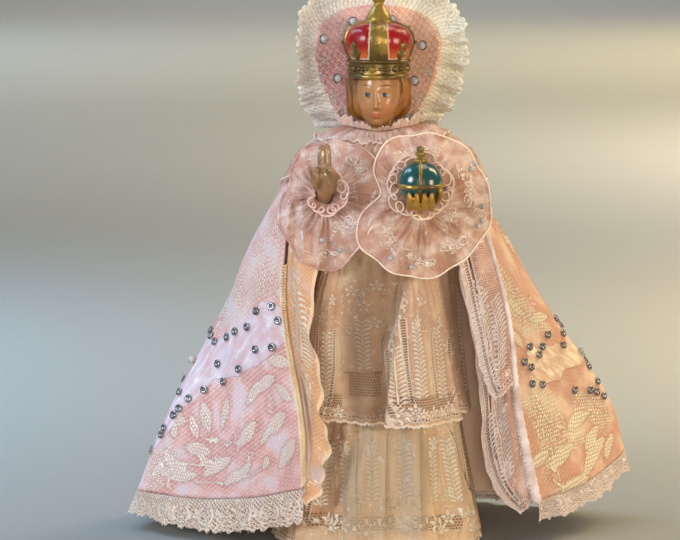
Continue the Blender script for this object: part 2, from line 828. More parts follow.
def bloom_petals(vector: Value) -> tuple[Value, ...]:
    """Five petals about a ring, or a palmette of nine, longest above, for a size below zero: how deep inside one."""
    x, y, size = vector.parts()
    whole, fan = abs(size), size.math("LESS_THAN")
    radius = (x * x + y * y).math("SQRT")
    angle = x.math("ARCTAN2", y * -1.0)
    lobe = (angle * (fan * 4.0 + 5.0)).math("COSINE") * 0.32 + 0.68
    tall = fan * (angle.math("COSINE") * 0.35 - 0.35) + 1.0
    return (lobe * tall * whole - radius & abs(radius - whole * 0.25) - 0.35,)


class Effect(Enum):
    """Effects that several materials share, each a node group: what draws it, its inputs and its outputs."""

    LADDER = (ladder_net, {"Angle": 0.0, "Spacing": 3.0, "Rung": 6.0, "Width": 0.5}, ("Cord",))
    HOLES = (round_holes, {"Pitch": 1.6, "Size": 0.3}, ("Hole",))
    STITCH = (stitching, {"Pitch": 1.0, "Length": 3.0}, ("Height",))
    SCRIBBLE = (scribbled, {"Scale": 0.12, "Width": 0.022, "Share": 0.5}, ("Line",))
    WEAVE = (woven, {"Pitch": 0.5}, ("Height",))
    WEAR = (worn, {"Limit": 0.68, "Scale": 240.0}, ("Chip", "Grime"))
    FERN = (fern_leaves, {"Length": 5.4, "Pitch": 3.1, "Width": 1.9}, ("Reach",))
    BLOOM = (bloom_petals, {}, ("Reach",))

    def group(self) -> bpy.types.NodeTree:
        """The node group, built the first time it is asked for; its first input is a vector."""
        draw, inputs, outputs = self.value
        known = bpy.data.node_groups.get(self.name.lower())
        if known:
            return known
        tree = bpy.data.node_groups.new(self.name.lower(), "ShaderNodeTree")
        tree.interface.new_socket("Vector", in_out="INPUT", socket_type="NodeSocketVector")
        for key, value in inputs.items():
            made = tree.interface.new_socket(key, in_out="INPUT", socket_type="NodeSocketFloat")
            made.default_value = value
        for key in outputs:
            tree.interface.new_socket(key, in_out="OUTPUT", socket_type="NodeSocketFloat")
        graph = Graph(tree)
        given = graph.node("NodeGroupInput").outputs
        drawn = draw(*(Value(graph, given[key]) for key in ("Vector", *inputs)))
        graph.node("NodeGroupOutput", dict(enumerate(drawn)))
        return tree

    def use(self, vector: Value, output: int = 0, **inputs: object) -> Value:
        """Places the group in a material.

        Args:
            vector: what its pattern is drawn over.
            output: the number of the output wanted.
            **inputs: a value for each other input that isn't left as it is.

        Returns:
            The group's output.
        """
        made = vector.graph.node("ShaderNodeGroup", node_tree=self.group())
        for key, value in {"Vector": vector, **inputs}.items():
            vector.graph.feed(made.inputs[key], value)
        return Value(vector.graph, made.outputs[output])


@dataclass(frozen=True)
class Finish:
    """A finish with a name; each kind below fills in its own nodes."""

    name: str

    def material(self) -> bpy.types.Material:
        """The material, made the first time it is asked for."""
        known = bpy.data.materials.get(self.name)
        if known:
            return known
        made = bpy.data.materials.new(self.name)
        made.use_nodes = True
        made.node_tree.nodes.clear()
        graph = Graph(made.node_tree)
        shader = graph.node("ShaderNodeBsdfPrincipled", self.fill(graph))
        made.node_tree.links.new(shader.outputs[0], graph.node("ShaderNodeOutputMaterial").inputs[0])
        return made

    def fill(self, graph: Graph) -> dict[str, object]:
        """What goes into the shader, by the name of its socket."""
        raise NotImplementedError


@dataclass(frozen=True)
class Lace(Finish):
    """Lace on satin, or open lace: net, worked leaves, ladders, a holed border and picots."""

    ground: Tones
    shade: Tones
    cord: Tones
    worked: Tones
    slot: Tones = ((0.3, 0.14, 0.11), (0.28, 0.13, 0.06))
    patch: Tones = ((0.6, 0.56, 0.74), (0.74, 0.6, 0.42))
    net_angle: float = 0.8
    net_spacing: float = 1.3
    net_rung: float = 1.3
    net_width: float = 0.3
    net_share: float = 0.8
    fill_share: float = 0.75  # how solid the worked leaves are inside their outlines
    stitch: float = 1.1
    stitch_length: float = 3.2
    scribble: float = 1.2
    border: float = 0.0  # height of the holed border
    picot: float = 0.01
    picot_pitch: float = 2.4
    open_work: float = 0.0
    roughness: float = 0.55
    split: tuple[float, float] = (-60.0, 80.0)  # where the colours pass from cool to warm
    middle: Colour | None = None  # what the deep parts of the folds darken to
    mesh_pitch: float = 2.0
    lining: Colour | None = None
    uneven: float = 0.0  # how far the worked outlines stray, in millimetres

    def fill(self, graph: Graph) -> dict[str, object]:
        """Joins the nodes: ground, net, worked lace, ladders, border, patch and picots, in that order."""
        across, down, motif = graph.field("cloth").parts()
        edge, deep, region = graph.field("trim").parts()
        along, aside, holed = graph.field("band").parts()
        net_x, net_y, dense = graph.field("net").parts()
        flat = graph.vector(across, down)
        motif = motif | Effect.FERN.use(graph.field("fern")) | Effect.BLOOM.use(graph.field("bloom"))
        if self.uneven:
            stray = (flat.noise(0.45, 3.0) - 0.5) * (4.0 * self.uneven)
            motif, region, dense = motif + stray * 0.5, region + stray, dense + stray * 3.0
        ground, shade, cord, thread, patch, slot = graph.tones(
            self.split, self.ground, self.shade, self.cord, self.worked, self.patch, self.slot
        )
        cloud = flat.noise(0.035, 3.0)
        ground = cloud.ramp(0.35, 0.62, 0.6, 0.0).paint(ground, shade)
        ground = cloud.ramp(0.48, 0.64, 0.0, 0.65).paint(ground, patch)
        ground = (motif.ramp(-4.5, -1.0) * 0.55).paint(ground, shade)
        spacing, rung = self.net_spacing, self.net_rung
        net = Effect.LADDER.use(
            graph.vector(net_x, net_y), Angle=self.net_angle, Spacing=spacing, Rung=rung, Width=self.net_width
        )
        net = net * self.net_share
        if self.scribble:
            net = net | Effect.SCRIBBLE.use(flat, Share=0.35 + 0.3 * self.scribble)
        stitch = Effect.STITCH.use(flat, Pitch=self.stitch, Length=self.stitch_length)
        close = dense.ramp(-3.5, 2.5) * (stitch * flat.noise(0.22).ramp(0.4, 0.5, 0.15, 1.0))
        body = motif.ramp(-0.12, 0.2)
        rim = body.less(motif.ramp(0.4, 0.75))
        worked = body * stitch.ramp(0.1, 0.6, 1 - self.fill_share, 1.0) | rim | close
        away = abs(aside)
        slots = away.ramp(0.9, 1.2, 1.0, 0.0) * (along / 1.9).saw().ramp(0.14, 0.24)
        rails = away.ramp(1.8, 2.2, 1.0, 0.0).less(slots)
        edged = edge.ramp(self.border, self.border + 0.4, 1.0, 0.0) * edge.ramp(self.picot + 1.4, self.picot + 2.2)
        holes = Effect.HOLES.use(graph.vector(across, edge), Pitch=2.3, Size=0.33) * edged
        holes = holes * motif.ramp(-0.3, 0.0, 1.0, 0.0)
        mesh = Effect.HOLES.use(flat, Pitch=self.mesh_pitch, Size=0.34)
        holes = holes | mesh * (holed.ramp(-0.3, 0.3) * motif.ramp(-0.2, 0.0, 1.0, 0.0))
        smooth = region.ramp(-0.2, 0.2)

        colour = net.paint(ground, cord)
        colour = (edged * 0.5).paint(colour, cord)
        colour = worked.paint(colour, thread)
        colour = (rails * 0.8).paint(colour, cord)
        colour = (slots * 0.7).paint(colour, slot)
        colour = (holes * 0.85).paint(colour, slot)
        if self.middle:
            colour = deep.ramp(-6.0, 8.0, 0.0, 0.7).paint(colour, self.middle)
        crease = flat.noise(0.16, 3.0, (1.0, 0.35, 1.0))
        plain = crease.ramp(0.4, 0.62, 0.55, 0.0).paint(patch, ground)
        plain = crease.ramp(0.55, 0.75, 0.0, 0.6).paint(plain, thread)
        colour = smooth.paint(colour, plain)
        if self.lining:
            colour = region.ramp(40.0, 60.0).paint(colour, ((net | worked) * 0.5).paint(self.lining, thread))
        teeth = (across / self.picot_pitch).saw() * 2.0
        tooth = (edge.ramp(0.0, self.picot) + 0.38 - teeth).ramp(-0.06, 0.06)
        toothed = self.picot > 0.1
        if toothed:
            colour = edge.ramp(self.picot, self.picot + 0.5, 0.8, 0.0).paint(colour, cord)
        weave = Effect.WEAVE.use(flat, Pitch=0.7)
        height = smooth.paint(worked * 1.2 + net * 0.5 + weave * 0.1, crease * 3.0)
        made = {
            "Base Color": colour, "Normal": graph.bump(height + (rails * 0.8 - holes * 0.8), 0.5),
            "Roughness": worked.ramp(0.0, 1.0, self.roughness + 0.1, self.roughness - 0.12), "Specular IOR Level": 0.35,
        }
        if self.open_work:
            solid = net | worked | rails | edged | smooth
            made["Alpha"] = (1.0 - ((1.0 - solid) * self.open_work | holes * 0.9)) * tooth
        elif toothed:
            made["Alpha"] = tooth
        return made


@dataclass(frozen=True)
class Chiffon(Finish):
    """Thin crinkled chiffon with white embroidered flowers and curls, and a rolled satin edge."""

    tint: Tones = ((0.92, 0.66, 0.6), (0.92, 0.66, 0.52))
    deep: Tones = ((0.66, 0.37, 0.29), (0.6, 0.31, 0.19))
    thread: Tones = ((1.0, 0.92, 0.88), (1.0, 0.88, 0.76))
    roll: Tones = ((0.96, 0.82, 0.74), (0.96, 0.82, 0.66))
    roll_width: float = 0.45
    alpha: float = 0.5

    def fill(self, graph: Graph) -> dict[str, object]:
        """Joins the nodes: tinted cloth with crinkles along its gathers, thread flowers, and the rolled edge."""
        across, down, motif = graph.field("cloth").parts()
        edge = graph.field("trim").parts()[0]
        flat = graph.vector(across, down)
        motif = motif | Effect.BLOOM.use(graph.field("bloom"))
        tint, deep, thread, roll = graph.tones((-40.0, 60.0), self.tint, self.deep, self.thread, self.roll)
        crinkle = flat.noise(0.3, 4.0, (1.0, 0.25, 1.0))
        ground = crinkle.ramp(0.48, 0.7, 0.0, 0.75).paint(tint, thread)
        ground = graph.where().noise(75.0, 3.0).ramp(0.4, 0.6, 0.85, 0.0).paint(ground, deep)
        stitch = Effect.STITCH.use(flat, Pitch=0.8, Length=2.2)
        curls = Effect.SCRIBBLE.use(flat, Scale=0.16, Width=0.02, Share=0.52)
        body = motif.ramp(-0.1, 0.15)
        rim = body.less(motif.ramp(0.3, 0.55))
        worked = body * stitch.ramp(0.0, 0.7, 0.25, 0.9) | rim | curls * 0.85
        hem = edge.ramp(self.roll_width, self.roll_width + 0.4, 1.0, 0.0)
        weave = Effect.WEAVE.use(flat, Pitch=0.6)
        return {
            "Base Color": hem.paint(worked.paint(ground, thread), roll),
            "Alpha": worked | hem | crinkle.ramp(0.3, 0.7, self.alpha - 0.14, self.alpha + 0.14),
            "Normal": graph.bump(crinkle * 1.6 + worked * 0.6 + weave * 0.05, 0.6),
            "Roughness": hem.ramp(0.0, 1.0, 0.5, 0.32), "Specular IOR Level": 0.25,
        }


@dataclass(frozen=True)
class Paint(Finish):
    """Glossy oil paint on cast plaster, with grime in its hollows and small chips."""

    colour: Colour
    second: Colour
    chip: Colour = (0.75, 0.68, 0.5)
    roughness: float = 0.3
    coat: float = 0.5
    chips: float = 0.7
    metal: float = 0.0
    split: tuple[float, float] = (0.35, 0.65)

    def fill(self, graph: Graph) -> dict[str, object]:
        """Joins the nodes: two tones that drift into each other, chips, and a slightly uneven surface."""
        where = graph.where()
        grime, chip = Effect.WEAR.use(where, 1), Effect.WEAR.use(where, Limit=self.chips)
        colour = self.details(graph, grime.ramp(*self.split).paint(self.colour, self.second))
        return {
            "Base Color": chip.paint(colour, self.chip), "Metallic": chip.ramp(0.0, 1.0, self.metal, 0.0),
            "Roughness": grime.ramp(0.3, 0.8, self.roughness - 0.06, self.roughness + 0.16),
            "Normal": graph.bump(where.noise(160.0, 3.0) - chip, 0.22), "Coat Weight": self.coat,
            "Coat Roughness": 0.12,
        }

    def details(self, graph: Graph, colour: Value) -> Value:
        """What is painted over the ground; nothing on a plain paint."""
        return colour


@dataclass(frozen=True)
class FacePaint(Paint):
    """Flesh with painted eyes, brows and lips."""

    white: Colour = (0.42, 0.33, 0.25)
    iris: Colour = (0.012, 0.012, 0.014)
    gleam: Colour = (0.8, 0.8, 0.78)
    brow: Colour = (0.16, 0.07, 0.03)
    lips: Colour = (0.5, 0.13, 0.08)
    blush: Colour = (0.72, 0.25, 0.12)

    def details(self, graph: Graph, colour: Value) -> Value:
        """Paints the cheeks, lips, eyes, brows and lashes from the signed distances that the head carries."""
        lips, line, eye = graph.field("paint").parts()
        white, blush, pupil = graph.field("tint").parts()
        white = white.ramp(-0.1, 0.12)
        colour = (blush * 0.5).paint(colour, self.blush)
        colour = lips.ramp(-0.2, 0.25, 0.0, 0.85).paint(colour, self.lips)
        colour = white.paint(colour, self.white)
        colour = (eye.ramp(-0.12, 0.12) * white).paint(colour, self.iris)
        colour = (pupil.ramp(-0.05, 0.1) * 0.5).paint(colour, self.gleam)
        return line.ramp(-0.1, 0.14, 0.0, 0.85).paint(colour, self.brow)


@dataclass(frozen=True)
class HairPaint(Paint):
    """Golden brown, darker in the grooves between the locks."""

    dark: Colour = (0.07, 0.02, 0.005)

    def details(self, graph: Graph, colour: Value) -> Value:
        """Darkens the grooves, by how far each place stands out of them."""
        return graph.field("paint").parts()[0].ramp(0.0, 0.9, 0.75, 0.0).paint(colour, self.dark)


@dataclass(frozen=True)
class Enamel(Paint):
    """The crown's red panels: deep red, orange at their feet, with a pale gold outline."""

    orange: Colour = (0.75, 0.16, 0.03)
    outline: Colour = (0.75, 0.5, 0.36)

    def details(self, graph: Graph, colour: Value) -> Value:
        """Fades the red to orange by height and outlines each panel."""
        edge, height, _ = graph.field("paint").parts()
        colour = height.ramp(0.0, 9.0, 0.85, 0.0).paint(colour, self.orange)
        reach = edge - (graph.where().noise(700.0) - 0.5) * 1.2
        return reach.ramp(0.9, 1.3, 1.0, 0.0).paint(colour, self.outline)


@dataclass(frozen=True)
class Bead(Finish):
    """A pearl, a glass bead or a silver cup, which has only its gloss and a little unevenness."""

    colour: Colour
    second: Colour
    metal: float = 0.0
    roughness: float = 0.08

    def fill(self, graph: Graph) -> dict[str, object]:
        """Joins the nodes: two tones, uneven gloss and a faint bump."""
        cloud = graph.where().noise(260.0)
        return {
            "Base Color": cloud.ramp(0.35, 0.65).paint(self.colour, self.second),
            "Roughness": cloud.ramp(0.3, 0.7, self.roughness, self.roughness + 0.1),
            "Normal": graph.bump(graph.where().noise(900.0, 1.0), 0.05),
            "Metallic": self.metal, "Coat Weight": 0.6 * (1 - self.metal),
        }


@dataclass(frozen=True)
class Satin(Finish):
    """Plain satin or ribbon with a fine weave along it."""

    colour: Colour
    second: Colour
    roughness: float = 0.4

    def fill(self, graph: Graph) -> dict[str, object]:
        """Joins the nodes: two soft tones and fine threads."""
        where = graph.where()
        threads = where.noise(900.0, 1.0, (1.0, 1.0, 0.15))
        return {
            "Base Color": where.noise(60.0, 3.0).ramp(0.35, 0.65).paint(self.colour, self.second),
            "Roughness": threads.ramp(0.3, 0.7, self.roughness - 0.08, self.roughness + 0.12),
            "Normal": graph.bump(threads, 0.2), "Sheen Weight": 0.3,
        }


@dataclass(frozen=True)
class Floor(Finish):
    """A plain pale floor with a faint mottle."""

    colour: Colour = (0.25, 0.258, 0.255)

    def fill(self, graph: Graph) -> dict[str, object]:
        """Joins a faint mottle to the floor's colour."""
        lighter = tuple(n * 1.04 for n in self.colour)
        return {"Base Color": graph.where().noise(3.0).paint(self.colour, lighter), "Roughness": 0.9}


FLESH = FacePaint("flesh", (0.5, 0.25, 0.1), (0.42, 0.19, 0.065), (0.6, 0.42, 0.2), chips=0.8, coat=0.3)
HAND = Paint("hand flesh", (0.4, 0.2, 0.09), (0.22, 0.12, 0.05), (0.75, 0.62, 0.3), chips=0.645)
HAIR = HairPaint("hair", (0.38, 0.145, 0.014), (0.15, 0.045, 0.005), chips=0.76, roughness=0.46, coat=0.06)
GOLD = Paint(
    "dark gold", (0.42, 0.27, 0.05), (0.13, 0.08, 0.02), (0.7, 0.56, 0.3), 0.32, 0.25, 0.75, 0.5, split=(0.42, 0.58)
)
BRIGHT_GOLD = Paint("bright gold", (0.62, 0.36, 0.05), (0.4, 0.2, 0.03), chips=0.8, metal=0.6, roughness=0.25)
RED = Enamel("red enamel", (0.42, 0.004, 0.004), (0.3, 0.003, 0.004), (0.8, 0.75, 0.7), 0.2, 0.25, 0.72)
TEAL = Paint("teal", (0.008, 0.095, 0.09), (0.006, 0.04, 0.035), (0.5, 0.42, 0.2), 0.2, 0.8, 0.76)
ROBE = Paint("painted robe", (0.5, 0.38, 0.24), (0.4, 0.26, 0.15), chips=0.74, roughness=0.4)
SATIN_LACE = Lace(
    "corded lace on satin", ground=((0.8, 0.46, 0.44), (0.68, 0.38, 0.28)),
    shade=((0.54, 0.21, 0.2), (0.52, 0.24, 0.15)),
    cord=((1.0, 0.86, 0.8), (0.82, 0.56, 0.38)), worked=((1.0, 0.94, 0.84), (1.0, 0.98, 0.72)),
    patch=((0.69, 0.62, 0.73), (0.84, 0.68, 0.48)), net_angle=-0.9, net_spacing=2.9, net_rung=4.6, net_width=0.42,
    net_share=0.62, fill_share=0.85, stitch=2.1, stitch_length=3.8, scribble=0.4, roughness=0.45,
    lining=(1.0, 0.7, 0.54), uneven=0.8,
)
ECRU = {"net_width": 0.2, "net_share": 0.45, "fill_share": 0.3, "stitch": 1.2, "scribble": 0.8, "border": 7.0}
CREAM_LACE = Lace(
    "ecru lace on satin", ground=((0.68, 0.4, 0.22), (0.82, 0.56, 0.35)), shade=((0.5, 0.25, 0.12), (0.62, 0.38, 0.19)),
    cord=((0.92, 0.75, 0.56), (0.98, 0.86, 0.64)), worked=((1.0, 0.87, 0.7), (1.0, 0.93, 0.76)),
    slot=((0.16, 0.07, 0.03),), patch=((0.7, 0.5, 0.3), (0.78, 0.6, 0.36)), split=(-30.0, 45.0),
    middle=(0.52, 0.39, 0.26), picot=2.2, picot_pitch=3.0, mesh_pitch=2.1, **ECRU,
)
PEACH_LACE = Lace(
    "ecru lace on peach satin", ground=((0.66, 0.38, 0.22), (0.7, 0.45, 0.3)),
    shade=((0.48, 0.23, 0.11), (0.5, 0.27, 0.16)),
    cord=((0.86, 0.68, 0.5), (0.9, 0.76, 0.62)), worked=((0.92, 0.75, 0.57), (1.0, 0.87, 0.73)),
    slot=((0.16, 0.07, 0.03), (0.18, 0.07, 0.04)), patch=((0.7, 0.5, 0.3), (0.76, 0.6, 0.36)), split=(-25.0, 20.0),
    middle=(0.2, 0.11, 0.05), picot=2.0, picot_pitch=2.8, mesh_pitch=1.9, **ECRU,
)
HEM_LACE = Lace(
    "hem lace", ground=((0.74, 0.54, 0.44), (0.82, 0.56, 0.46)), shade=((0.54, 0.34, 0.26), (0.6, 0.36, 0.28)),
    cord=((0.96, 0.82, 0.72), (1.0, 0.88, 0.8)), worked=((0.96, 0.82, 0.72), (1.0, 0.88, 0.8)),
    slot=((0.32, 0.2, 0.14), (0.3, 0.18, 0.1)), net_spacing=1.5, net_rung=1.5, net_width=0.4, net_share=0.85,
    fill_share=0.6, open_work=0.6, border=5.0, picot=2.6, picot_pitch=2.6, split=(-70.0, 20.0),
)
PANEL_LACE = Lace(
    "white panel lace", ground=((0.72, 0.38, 0.26),), shade=((0.46, 0.19, 0.12),), cord=((0.95, 0.8, 0.72),),
    worked=((0.95, 0.85, 0.8),), slot=((0.26, 0.11, 0.07),), patch=((0.8, 0.66, 0.62),), net_share=0.6,
    fill_share=0.45, open_work=0.2, border=7.0, picot=2.0, picot_pitch=2.8, mesh_pitch=2.2, roughness=0.6,
)
STRIP_LACE = Lace(
    "peach front lace", ground=((0.86, 0.44, 0.2),), shade=((0.66, 0.28, 0.11),), cord=((1.0, 0.76, 0.54),),
    worked=((1.0, 0.88, 0.76),), slot=((0.3, 0.13, 0.06),), net_share=0.5, fill_share=0.4, open_work=0.1, border=1.5,
    picot=1.5, picot_pitch=2.2,
)
FRILL_LACE = Lace(
    "white frill lace", ground=((0.9, 0.86, 0.82), (0.96, 0.88, 0.68)), shade=((0.74, 0.69, 0.62), (0.8, 0.7, 0.5)),
    cord=((1.0, 0.99, 0.97), (1.0, 0.95, 0.76)), worked=((1.0, 0.99, 0.98), (1.0, 0.96, 0.78)),
    slot=((0.4, 0.34, 0.28), (0.42, 0.34, 0.2)), patch=((0.84, 0.84, 0.88), (0.9, 0.82, 0.6)), net_angle=0.35,
    net_spacing=2.1, net_rung=2.9, net_width=0.8, fill_share=0.85, stitch=1.8, scribble=1.8, open_work=0.2, picot=2.4,
    picot_pitch=3.0, roughness=0.35, split=(-20.0, 20.0),
)
NET = Lace(
    "white net on pink", ground=((0.82, 0.44, 0.46), (0.92, 0.52, 0.36)), shade=((0.54, 0.2, 0.22), (0.7, 0.33, 0.2)),
    cord=((0.98, 0.8, 0.78), (1.0, 0.8, 0.62)), worked=((0.95, 0.9, 0.88), (0.96, 0.88, 0.72)),
    patch=((0.74, 0.52, 0.5), (0.78, 0.54, 0.4)), net_angle=0.78, net_spacing=4.0, net_rung=4.0, net_width=0.55,
    scribble=0.7, split=(-20.0, 20.0),
)
FRILL_NET = Lace(
    "pink frill net", ground=((0.86, 0.56, 0.48), (0.86, 0.56, 0.42)), shade=((0.7, 0.36, 0.28), (0.7, 0.38, 0.25)),
    cord=((0.98, 0.8, 0.72), (0.98, 0.8, 0.64)), worked=((0.98, 0.84, 0.78), (0.98, 0.84, 0.7)), net_angle=0.0,
    net_spacing=1.1, net_rung=1.2, net_width=0.4, open_work=0.35, scribble=0.0, border=1.0, picot=0.9,
    picot_pitch=1.6, split=(-20.0, 40.0),
)
CHIFFON = Chiffon("crinkled chiffon")
CUFF_CHIFFON = Chiffon(
    "gathered chiffon", tint=((0.96, 0.7, 0.64), (0.96, 0.7, 0.56)), deep=((0.76, 0.44, 0.36), (0.76, 0.44, 0.3)),
    roll=((0.92, 0.68, 0.6), (0.92, 0.68, 0.52)), alpha=0.7, roll_width=1.0,
)
PEARL = Bead("glass pearl", (0.36, 0.36, 0.38), (0.56, 0.55, 0.54))
SILVER = Bead("silver cup", (0.2, 0.2, 0.21), (0.32, 0.32, 0.34), metal=0.9, roughness=0.18)
PIPING = Satin("white piping", (0.9, 0.82, 0.8), (0.66, 0.5, 0.46))
BRAID = Satin("gold braid", (0.98, 0.8, 0.5), (0.86, 0.56, 0.28), 0.35)
FLOOR = Floor("pale floor")


# The cast figure


@dataclass(frozen=True)
class Head:
    """The head's middle, its half sizes and how far it is turned."""

    x: float = -1.0
    y: float = -3.0
    z: float = 321.0
    side: float = 15.6
    depth: float = 17.6
    half: float = 25.6
    turn: float = -0.1


HEAD = Head()


@dataclass
class CastFigure:
    """The cast and painted figure: plinth and plain robe, head, hair, crown, hands and orb."""

    straps: int = 4
    strap_width: float = 12.5
    studs: int = 16
    orb: tuple[float, float, float] = (27.0, -75.0, 265.0)
    orb_radius: float = 15.0
    right_arm: tuple = ((-27, 0, 256, 7.6), (-38, -18, 245, 6.4), (-37.5, -50, 253, 5.0))
    left_arm: tuple = ((27, 0, 256, 7.6), (33, -20, 242, 6.4), (27, -56, 247.5, 5.0))
    cap: tuple = (
        (2.0, 369.8), (8.6, 369.4), (15.2, 368), (20.6, 365), (23.4, 360), (23.8, 354.6), (22.2, 348.4), (19.6, 343),
        (19.0, 341),
    )

    def cast(self, shape: Shape, name: str, finish: Finish, fuse: float = 0.0) -> Piece:
        """Finishes a part of the cast."""
        return shape.finish(name, finish, "painted_plaster", "figure", fuse)

    def limbs(self, shape: Shape, steps: int, *limbs: tuple) -> None:
        """Adds limbs: round tubes along smooth curves, their radius drawn out between the places.

        Args:
            shape: the shape to add them to.
            steps: points along each.
            *limbs: x, y, z and radius of the places of each.
        """
        s = np.linspace(0, 1, steps)
        for limb in limbs:
            spots = np.asarray(limb, float)
            shape.tube(through(spots[:, :3], s), np.interp(s, np.linspace(0, 1, len(spots)), spots[:, 3]), 18)

    def robe(self) -> None:
        """The low plinth and the plain robe under the clothes, with eight soft folds."""
        u, v = grid(40, 97)
        turn, z = u * TURN, mix(270.0, 16.0, v)
        full = 1 - ease(z, 15, 225)
        room = Gown.oval_at(turn, z) - (8.4 * full + 1.4 + 2.5) - 4 - 5 * (1 - ease(z, 60, 200))
        radius = (room - 1.5 * (1 + cos(8 * turn)) * full) * (1 - 0.3 * ease(1 - v, 0.9, 1))
        foot = Gown.oval_at(turn[0], np.full(97, 16.0))
        share = 1 - 12.3 / foot[0]
        steps = ((0.955, 16.0), (0.975, 15.4), (0.975, 11.0), (0.967, 9.5), (0.985, 7.5), (0.985, 0.4), (0.97, 0.0))
        plinth = [around(turn[:1], foot * share * k - 4, h) for k, h in steps]
        top, bottom = (stack(0, 0, h + 0 * turn[:1]) for h in (270.0, 0.0))
        self.cast(Shape().skin(np.concatenate([top, around(turn, radius, z), *plinth, bottom])), "cast_robe", ROBE)

    def head(self) -> None:
        """Head and neck, with a calm child's face of plain proportions.

        The head is an egg. Each feature is a bell-shaped swelling or hollow at its place, and the eyelids, the lips'
        line and the painting are bands about parabolas.
        """
        u, v = grid(120, 141)
        turn, rise = front_turn(u, 0.72), (0.5 - v) * pi
        girth, z = cos(rise) ** 0.85, HEAD.half * sin(rise)
        x = HEAD.side * (1 - 0.1 * ease(-z, 0, HEAD.half)) * girth * sin(turn)
        y = -HEAD.depth * girth * cos(turn)
        side = np.abs(x)
        eye_x, eye_z = side - 6.1, z + 1.4
        lid = np.maximum(0, 1 - (eye_x / 3.4) ** 2)
        upper, lower = eye_z - 1.95 * lid, eye_z + 1.2 * lid
        mouth = z + 15.2 - 0.02 * x**2
        features = (  # height, and place and width of its bell across and upwards
            (-1.7, 6.1, 4.0, -1.2, 3.0), (1.5, 6.1, 2.7, -1.4, 2.0), (0.7, 6.0, 4.6, 3.6, 1.9),
            (1.1, 0, 1.7, -2.5, 4.2),
            (2.1, 0, 1.9, -7.4, 3.2), (1.7, 0, 2.0, -9.8, 1.5), (0.9, 2.2, 1.1, -10.3, 1.2),
            (-0.35, 0, 0.7, -12.6, 1.0),
            (1.0, 0, 3.4, -15.0, 2.6), (-0.5, 0, 2.6, -18.2, 1.0), (1.3, 0, 3.8, -21.4, 2.6),
            (1.0, 8.2, 4.4, -11.0, 4.6),
        )
        mouth_forms = ((0.55, 1.3, 1.4, 1.0, 0.75), (0.75, 0, 2.3, -1.15, 0.85), (-0.6, 0, 3.6, 0, 0.32))
        out = sum(
            high * bump(side, x0, wide) * bump(level, z0, tall)
            for rows, level in ((features, z), (mouth_forms, mouth)) for high, x0, wide, z0, tall in rows
        )
        out = (out + (0.42 * bump(upper, 0.2, 0.42) + 0.22 * bump(lower, -0.2, 0.4)) * lid) * ease(-y, 2, 9)
        face = np.where(y < 0, 1.0, 0.0)
        far = -9.0 * (1 - face)
        white = np.minimum(1.82 * lid - 0.05 - eye_z, eye_z + 1.1 * lid - 0.05)
        arch = z - 5.6 - 0.05 * (side - 6.2) + ((side - 6.4) / 4.4) ** 2
        brow = 0.5 * np.maximum(0, 1 - ((side - 6.2) / 5.0) ** 2) - np.abs(arch) * 0.9
        lash = 0.45 * np.sqrt(lid) - np.abs(eye_z - 1.9 * lid)
        crease = 0.1 - np.abs(mouth) - 0.5 * ease(side, 2.6, 3.4)
        lips = np.minimum(1.25 + 0.35 * bump(side, 1.1, 0.8) - mouth - 0.1 * side**1.7, mouth + 1.55 - 0.12 * x**2)
        pupil = 0.16 - np.hypot(x / np.maximum(side, 0.1) * eye_x + 0.45, eye_z - 0.6)
        lines = np.maximum(np.maximum(brow, lash), crease)
        fields = {
            "paint": stack(lips + far, lines + far, 1.8 - np.hypot(eye_x, eye_z - 0.3) + far),
            "tint": stack(white + far, 0.7 * bump(side, 8.6, 3.6) * bump(z, -9.5, 3.6) * face, pupil + far),
        }
        c, s = cos(HEAD.turn), sin(HEAD.turn)
        places = stack(x * c - (y - out) * s + HEAD.x, x * s + (y - out) * c + HEAD.y, z + HEAD.z)
        neck = turned([(0, 304), (8.8, 303), (8.8, 292), (9.4, 284), (10.8, 276), (14.5, 263), (0, 262)], 30, 49)
        blank = np.full(neck.shape, -9.0)
        shape = Shape().skin(places, fields).skin(neck, {"paint": blank, "tint": blank * [1, 0, 1]})
        self.cast(shape, "painted_head", FLESH)

    def hair(self) -> None:
        """Moulded hair: a rounded mass with wavy locks, fuller at its foot and drawn forward beside the face."""
        u, v = grid(70, 241)
        turn, up = front_turn(u, 0.2), 1 - v
        rounding = np.sqrt(np.maximum(0, 1 - np.abs(2 * up - 1) ** np.where(up < 0.5, 3, 5)))
        full = 1 + 0.08 * (1 - ease(up, 0.1, 0.5)) - 0.1 * ease(up, 0.6, 1)
        wave = 11 * turn + 2.6 * sin(4.0 * up + 2 * turn) + 0.8 * sin(9 * up)
        groove = np.abs(sin(wave / 2)) ** 0.8
        lock = 0.02 * cos(9 * turn) + 0.045 * (groove - 0.6) + 0.009 * sin(3 * wave + 4 * up)
        radius = rounding * (full + lock)
        places = stack(HEAD.x + 22.2 * radius * sin(turn), 4.2 - 16.4 * radius * cos(turn), mix(299.0, 341.0, up))
        self.cast(Shape().skin(places, {"paint": stack(groove, up, 0)}), "moulded_hair", HAIR)

